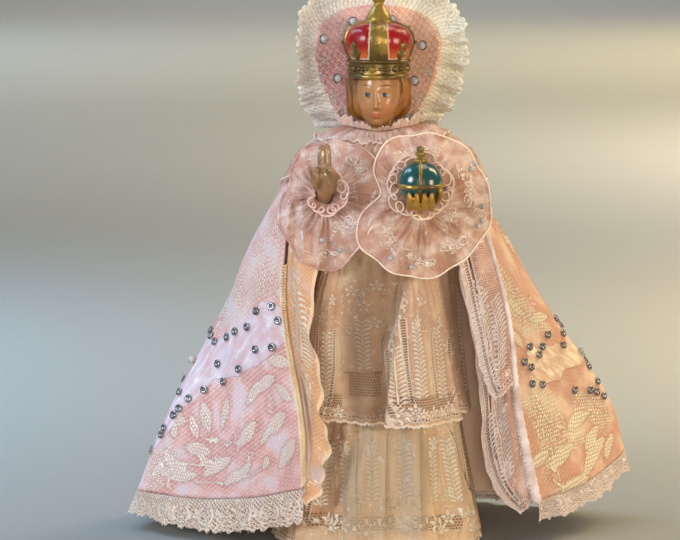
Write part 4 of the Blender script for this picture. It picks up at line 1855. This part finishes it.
@dataclass
class Mantle:
    """The wide satin mantle: it hangs from a ring round the neck over the shoulders, open in front."""

    opening: float = 1.2
    folds: int = 8
    fold_depth: float = 4.5
    thickness: float = 1.0
    spread: float = 2.35
    cut: Cut = Cut((0.74, 0.4), "draped", "lace_gown", 0.14)
    levels: tuple = (0.0, 0.12, 0.42, 0.76, 1.0)
    rings: tuple = ((18.5, 17, 286), (56, 37, 272))  # half width, depth and height at the neck and the shoulders
    curves: tuple = (  # the three lower levels, from the right front edge round the back
        ((-67, -33, 186), (-86, -16, 194), (-99, 10, 196), (-92, 46, 194), (-48, 67, 193), (8, 70, 193), (62, 64, 194),
            (100, 44, 195), (104, 14, 190), (97, -10, 188), (86, -24, 186)),
        ((-54, -55, 98), (-86, -34, 96), (-116, -8, 94), (-150, 20, 95), (-128, 68, 92), (-62, 84, 90), (10, 86, 90),
            (92, 80, 92), (166, 50, 98), (134, 10, 98), (99, -28, 98)),
        ((-52, -56, 50), (-90, -35, 38), (-132, -8, 30), (-177, 22, 28), (-150, 76, 12), (-74, 97, 8), (14, 101, 8),
            (102, 90, 12), (182, 58, 52), (150, 12, 38), (113, -22, 33)),
    )
    leaves: tuple = (
        ((203, 402), (209, 432), 8), ((228, 396), (221, 431), 8), ((182, 446), (212, 452), 7.5),
        ((203, 475), (232, 457), 8.5), ((236, 448), (257, 421), 9),
        ((235, 484), (252, 463), 7), ((279, 469), (296, 440), 12), ((266, 436), (286, 414), 10),
        ((171, 478), (200, 474), 6), ((268, 360), (292, 362), 8),
        ((256, 390), (275, 378), 8), ((246, 405), (262, 380), 7), ((276, 386), (292, 400), 8),
        ((190, 414), (197, 438), 6), ((240, 470), (224, 486), 6),
        ((150, 478), (165, 462), 6), ((262, 470), (270, 455), 6), ((164, 450), (176, 470), 5),
        ((214, 468), (198, 458), 5), ((275, 420), (260, 446), 5),
        ((508, 300), (524, 314), 6), ((530, 322), (548, 316), 6), ((540, 358), (552, 346), 8),
        ((552, 372), (566, 350), 9), ((534, 372), (544, 360), 7),
        ((566, 364), (578, 352), 7), ((584, 476), (606, 434), 10), ((604, 462), (612, 430), 7),
        ((586, 452), (600, 424), 7), ((560, 492), (590, 478), 9),
        ((550, 470), (572, 444), 9), ((526, 470), (548, 452), 7), ((566, 428), (590, 412), 8),
        ((512, 330), (524, 348), 6),
    )
    eyelets: tuple = ((270, 405, 6), (246, 436, 4), (180, 470, 5), (214, 440, 4), (250, 455, 4), (560, 420, 6),
        (590, 440, 5), (540, 432, 4), (532, 300, 4), (556, 478, 5))

    def point(self, s: Array, t: Array) -> Array:
        """The mantle's form: smooth cubics down through the neck's ring, the shoulders' ring and three level curves.

        Args:
            s: shares from the right front edge round the back to the left front edge.
            t: shares from the neck to the hem.

        Returns:
            Places, of the shape of s and t.
        """
        s, t = np.broadcast_arrays(np.asarray(s, float), np.asarray(t, float))
        turn = mix(-self.opening, self.opening - TURN, s)
        rings = (stack(side * sin(turn), -depth * cos(turn), z) for side, depth, z in self.rings)
        p = cubic(np.array(self.levels), np.stack([*rings, *(through(curve, s) for curve in self.curves)]), t)
        behind = ease(s, 0.3, 0.4) * (1 - ease(s, 0.62, 0.72))
        fold = self.fold_depth * behind * ease(t, 0.3, 1) * cos(self.folds * TURN * s)
        return p + unit(p * [1, 1, 0]) * fold[..., None]

    def surface(self) -> Cloth:
        """The mantle's cloth, with soft dents in front, gathers under the neck, and the flat cut of a round cape."""
        u, t = grid(110, 301)
        s = 1 - u + 0.06 * sin(2 * TURN * u)
        places = self.point(s, t)
        front = 1 - ease(s, 0.28, 0.36) * (1 - ease(s, 0.66, 0.74))
        dents = 0.9 * sin(34 * s + 5 * t) * sin(6 * t + 20 * s) * front * ease(t, 0.2, 0.5)
        gathers = 0.8 * sin(120 * s) * (1 - ease(t, 0.1, 0.35)) * ease(t, 0.02, 0.08)
        creases = 0.9 * sin(3 * self.folds * TURN * s + 1) * (1 - front) * ease(t, 0.2, 1)
        places = places + facing(places, False) * (dents + gathers + creases)[..., None]
        radius, angle = 52.0 + run(places, 0).mean(1, keepdims=True), (0.5 - s) * self.spread
        width = run(places, 1)
        lie = stack(np.where(s > 0.5, width, width - width[:, -1:]), radius, 0)
        return Cloth(places, radius * sin(angle), radius * cos(angle), net=lie, lined=True)

    def behind(self, cloth: Cloth) -> None:
        """Works plainer sprays of three leaves and a ring over the back, at random."""
        rng = np.random.default_rng(7)
        for n in range(46):
            s, t = mix(0.24, 0.78, (n % 9 + rng.random() * 0.6) / 9), mix(0.28, 0.95, (n // 9 + rng.random() * 0.5) / 5)
            angle, radius = (0.5 - s) * self.spread, 52 + t * 290
            centre = radius * np.array([sin(angle), cos(angle)])
            for way in n * 1.9 + np.array([-0.9, 0.0, 0.9]):
                ahead = np.array([cos(way), sin(way)])
                cloth.leaf(centre + ahead * 2, centre + ahead * 17, 7.0)
            cloth.ring(centre - 5 * np.array([cos(n * 1.9), sin(n * 1.9)]), 3.6, 0.8)

    def build(self) -> Cloth:
        """Works the mantle's corded lace, sews on its smooth patches, and returns its cloth."""
        cloth = self.surface()
        for a, b, width in self.leaves:
            cloth.leaf(*cloth.flat([a, b]), 1.35 * width)
        for column, row, size in self.eyelets:
            cloth.ring(cloth.spot(column, row), size, 0.9)
        cloth.each(
            cloth.stem, ((205, 438), (228, 446), (250, 440), (262, 424)),
            ((180, 462), (200, 466), (225, 452), (238, 430)),
            ((196, 480), (222, 484), (250, 478), (275, 462)), ((532, 396), (548, 420), (552, 450), (544, 480)),
            ((606, 420), (600, 446), (584, 472), (560, 488)),
        )
        self.behind(cloth)
        cloth.area(
            Work.PATCH,
            ((262, 300), (290, 308), (293, 322), (287, 340), (273, 353), (258, 367), (239, 375), (227, 377), (214, 381),
                (203, 393), (190, 402), (183, 411), (171, 428),
             (159, 446), (151, 455), (150, 450), (163, 427), (180, 390), (196, 362), (207, 334), (216, 340), (228, 334),
             (240, 327), (252, 318)),
            ((526, 340), (536, 347), (548, 350), (556, 343), (564, 345), (574, 345), (583, 358), (579, 366), (564, 368),
                (560, 380), (546, 384), (537, 379), (527, 366)),
        )
        cloth.area(
            Work.STITCHES,
            ((284, 205), (284, 296), (262, 298), (238, 318), (214, 334), (222, 312), (246, 262), (268, 222)),
            ((150, 456), (170, 440), (176, 456), (162, 488), (144, 492)),
            ((496, 260), (518, 288), (552, 330), (524, 338), (508, 312), (498, 286)),
            ((520, 400), (548, 388), (560, 410), (566, 440), (552, 460), (546, 484), (540, 440)),
            ((572, 392), (604, 400), (612, 420), (600, 430), (584, 412), (574, 420)),
            ((560, 430), (580, 424), (586, 444), (570, 452)), ((552, 488), (576, 480), (574, 494), (556, 498)),
        )
        motif, patch = cloth.work[Work.MOTIF], cloth.work[Work.PATCH]
        relief = 0.35 * ease(motif, -0.3, 0.5) * ease(-patch, 0.0, 0.4) + 0.5 * ease(patch, -0.2, 0.5)
        cloth.places = cloth.places + facing(cloth.places, False) * relief[..., None]
        piece = Shape().shell(cloth, self.thickness).finish("satin_mantle", SATIN_LACE, "mantle_satin", "mantle")
        self.cut.sew(cloth, piece)
        return cloth


@dataclass
class MantleTrim:
    """What is sewn to the mantle: silver sequins, glass beads, braid on one front edge and piping on the other."""

    cups: tuple = (
        (272, 306), (256, 312), (278, 321), (247, 328), (236, 330), (227, 337), (216, 342), (211, 337), (209, 331),
        (273, 346), (256, 351), (239, 368), (219, 364),
        (224, 382), (205, 391), (189, 400), (179, 408), (174, 417), (165, 427), (161, 436), (152, 450), (185, 379),
        (180, 392),
        (556, 319), (563, 322), (547, 336), (563, 334), (562, 344), (529, 346), (541, 346), (538, 355), (524, 362),
        (530, 366), (532, 384), (542, 384), (574, 390),
        (589, 390), (597, 393), (603, 396), (597, 382), (585, 359), (588, 366),
    )
    profile: tuple = ((0, 0.25), (0.7, 0.3), (0.95, 0.95), (2.3, 1.35), (3.0, 1.0), (3.05, 0.6), (2.2, 0.1), (0, 0.0))

    def sequins(self, cloth: Cloth) -> None:
        """A cup at each spot: a faceted dish, raised at its rim and low in its middle."""
        spots = cloth.spots(self.cups)
        out = facing(cloth.places, False)[spots]
        side = unit(np.cross(UP, out))
        radius, height = np.array(self.profile).T[..., None]
        u, _ = grid(len(radius), 11)
        form = stack(radius * cos(u * TURN), radius * sin(u * TURN), height)
        shape = Shape()
        for centre, axes in zip(cloth.places[spots] + out * 0.5, np.stack([side, np.cross(out, side), out], 1)):
            shape.skin(centre + form @ axes)
        shape.finish("mantle_sequins", SILVER, "pearl", "mantle")

    def beads(self, cloth: Cloth) -> None:
        """Glass beads: one that stands out at the left edge and a petalled cluster at the right."""
        spots = cloth.spots([(194, 362), (583, 347), (580, 351), (586, 352)])
        shape = Shape()
        for place, size in zip(cloth.places[spots] + facing(cloth.places, False)[spots] * 2.4, (2.9, 2.2, 2.0, 2.0)):
            shape.balls(place, size, 11, 17)
        shape.finish("mantle_beads", PEARL, "pearl", "mantle")

    def braid(self, mantle: Mantle) -> None:
        """Gold braid down the right front edge: two cords that twist about each other, with small loops."""
        t = np.linspace(0.36, 0.99, 420)
        edge = mantle.point(0 * t, t) + np.array([0.4, -1.4, 0])
        shape = Shape()
        for angle in (np.arange(420) * 0.72, np.arange(420) * 0.72 + pi):
            shape.tube(edge + stack(2.0 * cos(angle), 0.9 * sin(angle), 0), 0.46, 6)
        shape.finish("mantle_braid", BRAID, "cream_lace", "mantle")

    def piping(self, mantle: Mantle) -> None:
        """White satin piping down the left front edge, wider towards the hem."""
        t, n = np.linspace(0.2, 0.995, 220), np.arange(220)
        edge = mantle.point(1 + 0 * t, t) + np.array([-0.6, -1.2, 0])
        radius = mix(1.8, 2.7, ease(t, 0.3, 1.0)) * (1 + 0.09 * sin(0.9 * n) + 0.07 * sin(2.1 * n))
        coil = edge - [2.6, 0.4, 0] + stack(1.3 * cos(2.2 * n), 0.6 * sin(2.2 * n), 0)
        shape = Shape().tube(edge, radius, 12, 0.55).tube(through(coil, np.linspace(0, 1, 660)), 0.35, 5)
        shape.finish("mantle_piping", PIPING, "mantle_satin", "mantle")

    def build(self, mantle: Mantle, cloth: Cloth) -> None:
        """Sews everything on."""
        self.sequins(cloth), self.beads(cloth), self.braid(mantle), self.piping(mantle)


@dataclass
class HemLace:
    """Ruffled lace round the mantle's hem, which turns outwards where the hem comes near the table."""

    width: float = 17.0
    waves: int = 14
    flowers: int = 31
    thickness: float = 0.4
    cut: Cut = Cut((0.84, 0.02), "gathered", "satin_mantle", 0.0125)

    def build(self, mantle: Mantle) -> None:
        """Works the ruffle: it leaves the hem along the mantle, turns down, and waves more towards its edge."""
        s, t = grid(14, 721)
        edge, above = mantle.point(s, 1), mantle.point(s, 0.98)
        fall = unit(mix(unit(edge - above), -UP, 0.65))
        room = edge[..., 2] + fall[..., 2] * 0.6 - 0.9 - 0.6
        width = self.width * mix(1.5, 1, ease(s, 0.15, 0.35))
        reach = np.minimum(width, room / -fall[..., 2])
        scallop = 1 - 0.1 * (1 - np.abs(sin(s * 62 * pi))) * ease(t, 0.8, 1)
        ruffle = 3 * sin(self.waves * TURN * s) + 1.8 * sin(43 * TURN * s + 1) + 0.8 * sin(97 * TURN * s)
        flare = (0.5 * (width - reach) + ruffle) * t
        places = edge + fall * (0.3 + reach * t * scallop)[..., None] + unit(edge * [1, 1, 0]) * flare[..., None]
        places[..., 2] = np.maximum(places[..., 2], 0.9)
        cloth = Cloth(places[:, ::-1], 0.6 * run(places, 1)[:1] + 0 * s, t * width)
        for x in (np.arange(self.flowers) + 0.5) * cloth.across.max() / self.flowers:
            centre = np.array([x, 0.52 * self.width])
            cloth.ring(centre, 4.6, 0.6)
            cloth.flower(centre, 3.8)
            cloth.leaf(centre + [6, -4], centre + [9.5, 5], 2.6)
        piece = Shape().shell(cloth, self.thickness).finish("ruffled_hem_lace", HEM_LACE, "cream_lace",
            "mantle_hem_lace")
        self.cut.sew(cloth, piece)


@dataclass
class FrontLace:
    """A strip of lace that hangs inside one of the mantle's front edges and reaches to its own inner line."""

    name: str
    node: str
    side: int
    inner: tuple
    span: tuple[float, float]
    finish: Lace
    slot: str
    ferns: tuple
    rosettes: tuple
    cut: Cut
    forward: float = 0.0
    thickness: float = 0.5
    spill: float = 1.0

    def build(self, mantle: Mantle) -> None:
        """Works the strip: it bellies forward between its edges, with soft folds down it and a scalloped inner edge."""
        u, v = grid(90, 41)
        left = self.side > 0
        edge = mantle.point(u * 0 + left, mix(*self.span, v)) - np.array([self.side * 2.35, 0, 0])
        share, belly = 1 - u if left else u, sin(u * pi)
        places = mix(edge, through(self.inner, v), share[..., None])
        scallop = 0.9 * np.abs(sin(v * 26)) * ease(share, 0.8, 1)
        folds = 1.1 * sin(u * 8 + 2.0 * sin(5 * v)) + 0.4 * sin(u * 17 - 6 * v) + 0.9 * sin(31 * v + 5 * u)
        folds = (folds + 1.3 * sin(11 * u + 9 * v)) * belly
        spill = self.spill * ease(share, 0.6, 1) * (1 + 0.35 * sin(23 * v) + 0.2 * sin(51 * v))
        places = places - stack((scallop + spill) * self.side, self.forward + 1.5 * belly + folds, 0)
        across = 0.55 * run(places, 1).mean(0, keepdims=True) + 0 * u
        down = run(places, 0).mean(1, keepdims=True) + 0 * u
        cloth = Cloth(places, across, down, edge=np.minimum((1 - share) * across.max(), down.max() - down))
        if left:
            cloth.ladder(np.array([(3.6, n) for n in np.linspace(4, down.max() - 6, 9)]))
            cloth.aside = cloth.aside * 1.7
        cloth.each(cloth.fern, *self.ferns)
        for n, pixel in enumerate(self.rosettes):
            centre = cloth.spot(*pixel)
            cloth.flower(centre, 4.0)
            cloth.scroll(centre + [1.5, 6.0], 3.2, 1, n)
        self.cut.sew(cloth, Shape().shell(cloth, self.thickness).finish(self.name, self.finish, self.slot, self.node))


@dataclass(frozen=True)
class Fan:
    """The standing collar's fan: its foot and top, its half widths, its middle, its curl and its thickness."""

    foot: float = 293.5
    top: float = 380.0
    foot_half: float = 20.0
    half: float = 43.5
    x: float = -2.0
    y: float = 29.5
    curl: float = 15.0
    widest: float = 0.69
    board: float = 2.2

    def outline(self, t: Array) -> tuple[Array, Array]:
        """The outline's x and z at shares of the way from its right foot over the top to its left foot.

        Each side rises as a sine to its widest place, and the top goes over as a softened arc.
        """
        share, side = 1 - np.abs(2 * t - 1), np.where(t < 0.5, -1.0, 1.0)
        k, low = np.clip(share / 0.6, 0, 1), share < 0.6
        half = mix(self.foot_half, self.half, sin(k * pi / 2) ** 0.8)
        turn = np.clip((share - 0.6) / 0.4, 0, 1) * pi / 2
        x = np.where(low, half, self.half * np.maximum(cos(turn), 0) ** 0.75)
        rise = np.where(low, self.widest * k, mix(self.widest, 1, sin(turn)))
        return side * x, mix(self.foot, self.top, rise)

    def depth(self, x: Number) -> Array:
        """How far back the fan stands: less towards its sides, by the square of x."""
        return self.y - self.curl * (x / self.half) ** 2


FAN = Fan()


@dataclass
class StandingCollar:
    """The stiff covered fan behind the head: pink cloth under a white net, with pearls in small silver cups."""

    diameter: float = 6.5
    pearls: tuple = ((-0.9, 0.73), (-0.67, 0.41), (-0.41, 0.87), (0.25, 0.88), (0.76, 0.68), (0.63, 0.39))
    flowers: tuple = ((325, 60, 5), (331, 96, 6), (345, 28, 5), (408, 30, 4), (428, 70, 4), (420, 100, 5), (321, 76, 4))
    cut: Cut = Cut((0.095, 0.09), "stretched", "chiffon_shoulder_ruffle", 0.0066)

    def build(self) -> None:
        """A board over the fan's outline, softly padded, with a few white flowers worked on its net."""
        u, v = grid(50, 61)
        x_edge, z = FAN.outline((1 - v) / 2)
        x = mix(-1, 1, u) * np.maximum(3, np.abs(x_edge))
        puff = 0.5 * sin(u * pi) ** 0.5 + 0.3 * sin(u * 17 + v * 5) * sin(v * 13) * sin(u * pi)
        cloth = Cloth(stack(x + FAN.x, FAN.depth(x) - 0.6 - puff, z), x, FAN.top - z)
        for column, row, size in self.flowers:
            cloth.flower(cloth.spot(column, row), size)
        piece = Shape().shell(cloth, FAN.board).finish("net_standing_collar", NET, "pink_net", "standing_collar")
        self.cut.sew(cloth, piece)

    def set_pearls(self) -> None:
        """Sews a ball in a thin ring to the fan's front at each place."""
        for n, (across, up) in enumerate(self.pearls, 1):
            x = across * FAN.half
            ahead = unit(np.array([-2 * FAN.curl * x / FAN.half**2, -1.0, 0.0]))
            centre = stack(x + FAN.x, FAN.depth(x), mix(FAN.foot, FAN.top, up)) + ahead * (self.diameter / 2 + 0.6)
            pearl, node = Shape().balls(centre, self.diameter / 2 - 0.35, 17, 25), f"collar_pearl_{n}"
            pearl.finish(f"pearl_{n}", PEARL, "pearl", node)
            angle, side = np.linspace(0, TURN, 33)[:, None], np.cross(ahead, UP)
            rim = centre - ahead * 1.4 + (self.diameter / 2 - 0.2) * (cos(angle) * side + sin(angle) * UP)
            Shape().tube(rim, 0.45, 6).finish(f"pearl_cup_{n}", SILVER, "pearl", node)


@dataclass
class CollarFrill:
    """The pleated white lace frill round the fan; it leans forward, most of all beside the right temple."""

    waves: int = 13
    width: float = 21.0
    flowers: int = 24
    thickness: float = 0.4
    cut: Cut = Cut((0.47, 0.022), "gathered", "net_standing_collar", 0.008)

    def build(self) -> None:
        """Works the frill: it leaves the fan's edge outwards, with broad waves and fine pleats that fan out."""
        t, r = grid(18, 641)
        x, z = FAN.outline(t)
        (xa, za), (xb, zb) = FAN.outline(np.maximum(0, t - 0.004)), FAN.outline(np.minimum(1, t + 0.004))
        level = (1 - ease(np.minimum(t, 1 - t), 0.02, 0.22))[..., None]
        out = unit(mix(unit(stack(za - zb, 0, xb - xa)), stack(np.sign(x), 0, 0), level))
        lean = 0.3 + 0.75 * bump(t, 0.27, 0.11)
        scallop = 1 - 0.09 * (1 - np.abs(sin(t * 34 * pi))) * ease(r, 0.7, 1)
        uneven = 1 + 0.05 * sin(11 * TURN * t + 1) + 0.04 * sin(23 * TURN * t)
        width = (self.width - 0.6) * r * scallop * uneven
        reach = width * cos(lean) + mix(-2.2, 1.7, ease(r, 0, 0.4))
        places = stack(x + FAN.x, FAN.depth(x), z) + out * reach[..., None]
        wave = (3.4 * sin(self.waves * TURN * t) + 1.5 * sin(5 * TURN * t + 2)) * (0.08 + 0.92 * r)
        pleats = 1.1 * (0.1 + 0.9 * r) * sin(37 * TURN * t + 2.4 * sin(7 * TURN * t) + 3 * r)
        pleats = pleats + 1.3 * r * sin(19 * TURN * t + 2 * sin(5 * TURN * t) - 4 * r)
        places[..., 1] += FAN.board + 0.8 - width * sin(lean) + wave + pleats
        cloth = Cloth(places[:, ::-1], (run(places, 1)[9:10] * 0.6 + 0 * t)[:, ::-1], r * self.width)
        for at in (np.arange(self.flowers) + 0.5) * cloth.across.max() / self.flowers:
            cloth.flower((at, 0.62 * self.width), 4.8)
            cloth.ring((at, 0.62 * self.width), 5.6, 0.45)
        piece = Shape().shell(cloth, self.thickness).finish("lace_collar_frill", FRILL_LACE, "white_lace",
            "collar_frill")
        self.cut.sew(cloth, piece)


@dataclass
class Studio:
    """A plain pale floor and soft light, a little cooler from the figure's right and warmer from its left."""

    lights: tuple = (
        ("window", (-1.9, -1.4, 1.1), 0.9, 35.0, (0.88, 0.94, 1.0), (0.0, 0.0, 0.2)),
        ("lamp", (1.8, -1.15, 0.5), 0.7, 18.5, (1.0, 0.8, 0.57), (0.0, 0.0, 0.06)),
        ("front", (0.15, -2.3, 0.5), 1.8, 11.0, (1.0, 0.92, 0.82), (0.0, 0.0, 0.2)),
        ("top", (0.3, 0.4, 1.9), 1.0, 7.0, (1.0, 0.96, 0.9), (0.0, 0.0, 0.2)),
        ("fill", (0.05, -1.45, 0.4), 0.16, 5.0, (1.0, 0.85, 0.68), (0.02, 0.0, 0.12)),
        ("far right", (8.0, 6.0, 4.0), 6.0, 760.0, (1.0, 0.77, 0.4), (4.8, 6.0, 0.0)),
        ("far left", (-8.0, 6.0, 4.0), 6.0, 340.0, (0.7, 0.87, 1.0), (-4.8, 6.0, 0.0)),
        ("far back", (0.0, 15.0, 8.0), 10.0, 350.0, (1.0, 0.95, 0.84), (0.0, 14.0, 0.0)),
        ("mid right", (2.9, 2.6, 2.0), 1.6, 84.0, (1.0, 0.84, 0.62), (1.9, 2.5, 0.0)),
        ("mid left", (-2.9, 2.6, 2.0), 1.6, 6.0, (0.45, 0.78, 1.0), (-1.9, 2.4, 0.0)),
        ("near right", (1.25, 0.6, 1.3), 0.9, 13.0, (1.0, 0.76, 0.4), (0.85, 0.6, 0.0)),
        ("near left", (-1.25, 0.5, 1.3), 0.9, 10.0, (0.42, 0.7, 1.0), (-0.85, 0.5, 0.0)),
    )

    def build(self) -> None:
        """Makes the floor, the lights and a pale world."""
        u, v = grid(3, 3)
        shape = bpy.data.meshes.new("floor")
        corners = (stack(mix(-30, 30, u), mix(30, -30, v), -0.0006)).reshape(-1, 3)
        faces = [(r * 3 + c, (r + 1) * 3 + c, (r + 1) * 3 + c + 1, r * 3 + c + 1) for r in range(2) for c in range(2)]
        shape.from_pydata(corners.tolist(), [], faces)
        floor = bpy.data.objects.new("floor", shape)
        bpy.context.collection.objects.link(floor)
        shape.materials.append(FLOOR.material())
        for name, place, size, power, colour, target in self.lights:
            data = bpy.data.lights.new(name, "AREA")
            data.size, data.energy, data.color = size, power, colour
            data.spread = 1.25 if " " in name else pi
            lamp = bpy.data.objects.new(name, data)
            lamp.location = place
            towards = np.array(target) - np.array(place)
            flat = math.hypot(towards[0], towards[1])
            lamp.rotation_euler = (math.atan2(flat, -towards[2]), 0, math.atan2(-towards[0], towards[1]))
            bpy.context.collection.objects.link(lamp)
        world = bpy.data.worlds.new("studio")
        world.use_nodes = True
        world.node_tree.nodes["Background"].inputs[0].default_value = (0.74, 0.82, 0.9, 1)
        world.node_tree.nodes["Background"].inputs[1].default_value = 0.2
        bpy.context.scene.world = world
        bpy.context.scene.view_settings.view_transform = "Standard"


def front_laces() -> list[FrontLace]:
    """The three strips of lace inside the mantle's front edges."""
    return [
        FrontLace(
            "lace_right_front", "right_front_lace", -1,
            ((-50, -40, 222), (-52, -54, 160), (-46, -60, 116), (-42, -63, 84), (-44, -64, 58), (-56, -64, 38)),
            (0.26, 0.97), STRIP_LACE, "peach_lace",
            ferns=(((304, 470), (308, 430), (304, 380)), ((301, 360), (300, 320), (296, 285))),
            rosettes=((297, 275), (303, 370), (308, 480)), cut=Cut((0.042, 0.18), "hung", "satin_mantle", 0.0045),
            spill=6.0,
        ),
        FrontLace(
            "lace_left_front", "left_front_lace", 1,
            ((55, -34, 200), (66, -32, 149), (71, -29, 112), (75, -26, 64), (84, -22, 38), (102, -17, 21)),
            (0.36, 0.99), PANEL_LACE, "white_lace",
            ferns=(((508, 482), (500, 440), (495, 404)), ((500, 500), (493, 462))),
            rosettes=((512, 500), (500, 425), (506, 466)), cut=Cut((0.046, 0.19), "hung", "satin_mantle", 0.006),
        ),
        FrontLace(
            "lace_left_ruffle", "left_front_ruffle", 1,
            ((51, -33, 224), (60, -37, 182), (67, -35, 149), (73, -34, 124), (81, -34, 108)),
            (0.27, 0.68), PANEL_LACE, "white_lace",
            ferns=(((492, 386), (488, 345), (478, 296)), ((500, 372), (498, 330), (490, 300))),
            rosettes=((486, 356), (494, 384), (476, 318), (474, 286)), cut=Cut((0.03, 0.1), "hung", "satin_mantle"),
            forward=3.5,
        ),
    ]


def main() -> None:
    """Builds the statuette piece by piece, in the order in which it is dressed."""
    logging.basicConfig(level=logging.INFO, format="%(name)s: %(message)s")
    CAMERA.build()
    Studio().build()
    figure = CastFigure()
    figure.build()
    Gown().build()
    UpperSkirt().build()
    Sleeve(
        Side.RIGHT, figure.right_arm, 1.5, ((361, 168, 5.0), (343, 226, 5.0), (352, 190, 3.4), (300, 214, 3.6)),
        ((372, 205), (340, 250), (320, 240)), Cut((0.28, 0.1), "gathered", "blessing_hand", 0.0125), hang=2.6,
    ).build()
    Sleeve(
        Side.LEFT, figure.left_arm, 1.2,
        ((471, 189, 5.0), (450, 217, 4.2), (454, 248, 4.6), (390, 235, 3.6), (420, 262, 4.0)),
        ((391, 258), (411, 266), (482, 208), (482, 221), (478, 227), (471, 169), (477, 162)),
        Cut((0.32, 0.1), "gathered", "orb_hand", 0.0155),
    ).build()
    CuffFrill(
        "net_right_cuff", "right_sleeve", (-37.0, -49.5, 256.0), 7.5, 13.0, 12,
        Cut((0.26, 0.0115), "gathered", "chiffon_right_sleeve", 0.0019), (-1.8, 0.9),
    ).build()
    CuffFrill(
        "net_left_cuff", "left_sleeve", (27.0, -64.0, 262.0), 13.5, 19.0, 19,
        Cut((0.49, 0.0115), "gathered", "chiffon_left_sleeve", 0.0032),
    ).build()
    ShoulderRuffle().build()
    NeckFrill().build()
    mantle = Mantle()
    cloth = mantle.build()
    MantleTrim().build(mantle, cloth)
    HemLace().build(mantle)
    for lace in front_laces():
        lace.build(mantle)
    collar = StandingCollar()
    collar.build()
    CollarFrill().build()
    collar.set_pearls()


if __name__ == "__main__":
    main()
